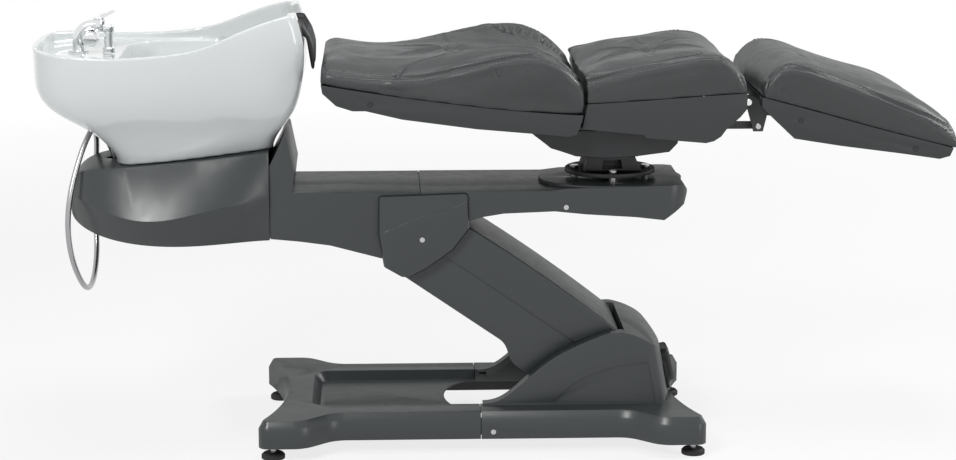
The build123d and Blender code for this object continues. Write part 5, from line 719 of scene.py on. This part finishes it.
def stitchSeam(piece, look):
    # Two rows of thread on each side, above and below the groove
    name, line = look["piece"] + "Stitches", look["stitch"]
    skin = BVHTree.FromObject(piece, bpy.context.evaluated_depsgraph_get())
    mesh = bpy.data.meshes.new(name)
    work = bmesh.new()
    for side in (-1, 1):
        for offset in (threadLook["beside"], -threadLook["beside"]):
            x = line[0][0] + threadLook["endGap"]
            while x < line[-1][0] - threadLook["endGap"]:
                slope = slopeOn(line, x)
                run = math.sqrt(1 + slope * slope)
                start = Vector((
                    x - slope / run * offset, side * threadLook["outside"], heightOn(line, x) + offset / run,
                ))
                hit, normal, _, _ = skin.ray_cast(start, Vector((0, -side, 0)))
                if hit is not None and abs(hit.y) > look["sideFrom"]:
                    ahead = Vector((1, 0, slope)).normalized()
                    dash(work, hit, normal, (ahead - normal * ahead.dot(normal)).normalized())
                x += threadLook["pitch"] / run
    bmesh.ops.recalc_face_normals(work, faces=work.faces)
    work.to_mesh(mesh)
    work.free()
    seam = bpy.data.objects.new(name, mesh)
    scene.collection.objects.link(seam)
    mesh.materials.append(thread)
    pickOnly(seam)
    bpy.ops.object.shade_smooth()
    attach(seam, bodyOf[look["node"]])


pads = [
    {
        "node": "seat_cushion", "piece": "seatPad", "voxel": 0.0062, "softening": 3, "fill": 0.75, "cap": 0.007,
        "sideFrom": 0.19, "grooveDepth": 0.0035, "grooveWidth": 0.0035, "planSeams": [], "pleats": [],
        "stitch": mmLine([(184, 799), (310, 829), (383, 843), (435, 851), (479, 849), (505, 824), (520, 794)]),
        "tufts": [(0.338, 0.0, 0.012, 0.045, 9)],
        "creases": [
            (0.27, -0.03, 0.07, 0.004, 0.5, 0.004), (0.28, 0.06, 0.08, 0.004, -0.6, 0.004),
            (0.41, -0.05, 0.07, 0.004, -0.5, 0.004), (0.40, 0.06, 0.07, 0.004, 0.6, 0.004),
            (0.338, -0.11, 0.08, 0.005, 1.45, 0.004), (0.335, 0.12, 0.08, 0.005, 1.6, 0.004),
        ],
    },
    {
        "node": "backrest_cushion", "piece": "backPad", "voxel": 0.0070, "softening": 3, "fill": 0.7, "cap": 0.007,
        "sideFrom": 0.2, "grooveDepth": 0.0035, "grooveWidth": 0.0035,
        "planSeams": [
            [
                (-0.203, 0.248), (-0.188, 0.222), (-0.15, 0.19), (-0.08, 0.178), (0.0, 0.19), (0.08, 0.2),
                (0.14, 0.19), (0.18, 0.165),
            ],
            [(0.0, 0.19), (0.06, 0.14), (0.12, 0.12), (0.18, 0.115)],
        ],
        "pleats": [([(0.03, 0.172), (0.09, 0.165), (0.15, 0.155), (0.18, 0.15)], 0.04, 0.017, 0.004)],
        "stitch": mmLine([
            (-357, 830), (-325, 823), (-268, 815), (-211, 812), (-154, 813), (-116, 820), (-59, 833),
            (-2, 846), (44, 854), (94, 857), (132, 842), (163, 819), (184, 796),
        ]),
        "tufts": [(-0.093, -0.01, 0.016, 0.045, 9)],
        "creases": [
            (-0.16, -0.05, 0.08, 0.004, 0.55, 0.004), (-0.16, 0.06, 0.08, 0.004, -0.5, 0.004),
            (-0.02, -0.06, 0.07, 0.004, -0.6, 0.004), (-0.02, 0.07, 0.07, 0.004, 0.5, 0.004),
            (-0.093, -0.13, 0.09, 0.005, 1.5, 0.004), (-0.09, 0.13, 0.09, 0.005, 1.6, 0.004),
        ],
    },
    {
        "node": "legrest_cushion", "piece": "legPad", "voxel": 0.0062, "softening": 3, "fill": 0.8, "cap": 0.006,
        "sideFrom": 0.19, "grooveDepth": 0.003, "grooveWidth": 0.0035, "planSeams": [], "pleats": [],
        "stitch": mmLine([
            (565, 782), (572, 806), (594, 824), (619, 829), (657, 821), (753, 787), (849, 747), (913, 721),
            (961, 693),
        ]),
        "tufts": [],
        "creases": [(0.66, -0.08, 0.09, 0.006, 1.5, 0.0015), (0.80, 0.06, 0.1, 0.006, 1.6, 0.0015)],
    },
]
for look in pads:
    pad = softened(look["node"], look["piece"], look["voxel"], look["softening"])
    if look["piece"] == "backPad":
        for vertex in pad.data.vertices:
            vertex.co = lowerBack(vertex.co, look["stitch"])
        pad.data.update()
    swell(pad, look)
    finer(pad)
    sculpt(pad, look)
    settle(pad, look["node"], leather, 180)
    stitchSeam(pad, look)
    print(look["piece"], "made", len(pad.data.polygons))

# Neck rest: black gel with a painted highlight: outer faces turned towards +X take a lighter gel colour that
# stands in for light falling on that side
neckLook = {"voxel": 0.0056, "softening": 3, "highlightFrom": -0.392, "highlightLean": 0.3, "fill": 0.9}
neckPad = softened("neck_rest", "neckPad", neckLook["voxel"], neckLook["softening"])
finer(neckPad)
settle(neckPad, "neck_rest", gel, 180)
neckPad.data.materials.append(gelPaintedHighlight)
# Painted highlight: outer faces turned towards +X get the lighter gel colour
for face in neckPad.data.polygons:
    if face.center.x > neckLook["highlightFrom"] and face.normal.x > neckLook["highlightLean"]:
        face.material_index = 1
print("neck rest made")


# Hoses, on the routes of their CAD tubes
def routeCurve(name, points):
    curve = bpy.data.curves.new(name, "CURVE")
    curve.dimensions = "3D"
    line = curve.splines.new("NURBS")
    line.points.add(len(points) - 1)
    for spot, (x, y, z) in zip(line.points, points):
        spot.co = (x / 1000, y / 1000, z / 1000, 1)
    line.order_u = 3
    line.use_endpoint_u = True
    line.resolution_u = 14
    piece = bpy.data.objects.new(name, curve)
    scene.collection.objects.link(piece)
    return piece


def lengthOf(piece):
    mesh = bpy.data.meshes.new_from_object(piece.evaluated_get(bpy.context.evaluated_depsgraph_get()))
    spots = [v.co.copy() for v in mesh.vertices]
    bpy.data.meshes.remove(mesh)
    return sum((b - a).length for a, b in zip(spots, spots[1:]))


hoses = [
    {
        "piece": "showerHose", "node": "shower_hose", "radius": 0.006,
        "route": [
            (-817, -30, 800), (-817, -30, 766), (-824, -36, 730), (-846, -54, 696), (-869, -78, 654),
            (-886, -104, 600), (-899, -124, 545), (-905, -132, 480), (-899, -126, 412), (-885, -84, 350),
            (-877, -14, 318), (-872, 62, 332), (-871, 122, 388), (-877, 144, 462), (-876, 146, 538),
            (-867, 132, 600), (-863, 96, 652), (-870, 56, 682), (-881, 24, 716), (-885, 9, 752), (-885, 9, 786),
        ],
    },
    {
        "piece": "nearSupplyHose", "node": "supply_hoses", "radius": 0.004,
        "route": [
            (-879, -8, 786), (-879, -8, 756), (-866, -4, 722), (-844, 0, 690), (-824, 5, 648), (-813, 9, 600),
            (-812, 10, 550), (-812, 10, 500),
        ],
    },
    {
        "piece": "farSupplyHose", "node": "supply_hoses", "radius": 0.004,
        "route": [
            (-891, -8, 786), (-891, -8, 756), (-878, -6, 720), (-857, 4, 688), (-834, 18, 646), (-816, 30, 600),
            (-812, 34, 550), (-812, 34, 500),
        ],
    },
]
for look in hoses:
    hose = routeCurve(look["piece"], look["route"])
    hoseLength = lengthOf(hose)
    hose.data.bevel_depth = look["radius"]
    hose.data.bevel_resolution = 4
    hose.data.use_fill_caps = True
    hose.data.materials.append(hoseMetal)
    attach(hose, bodyOf[look["node"]])
    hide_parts(look["node"])
    print(look["piece"], "made", round(hoseLength, 4))
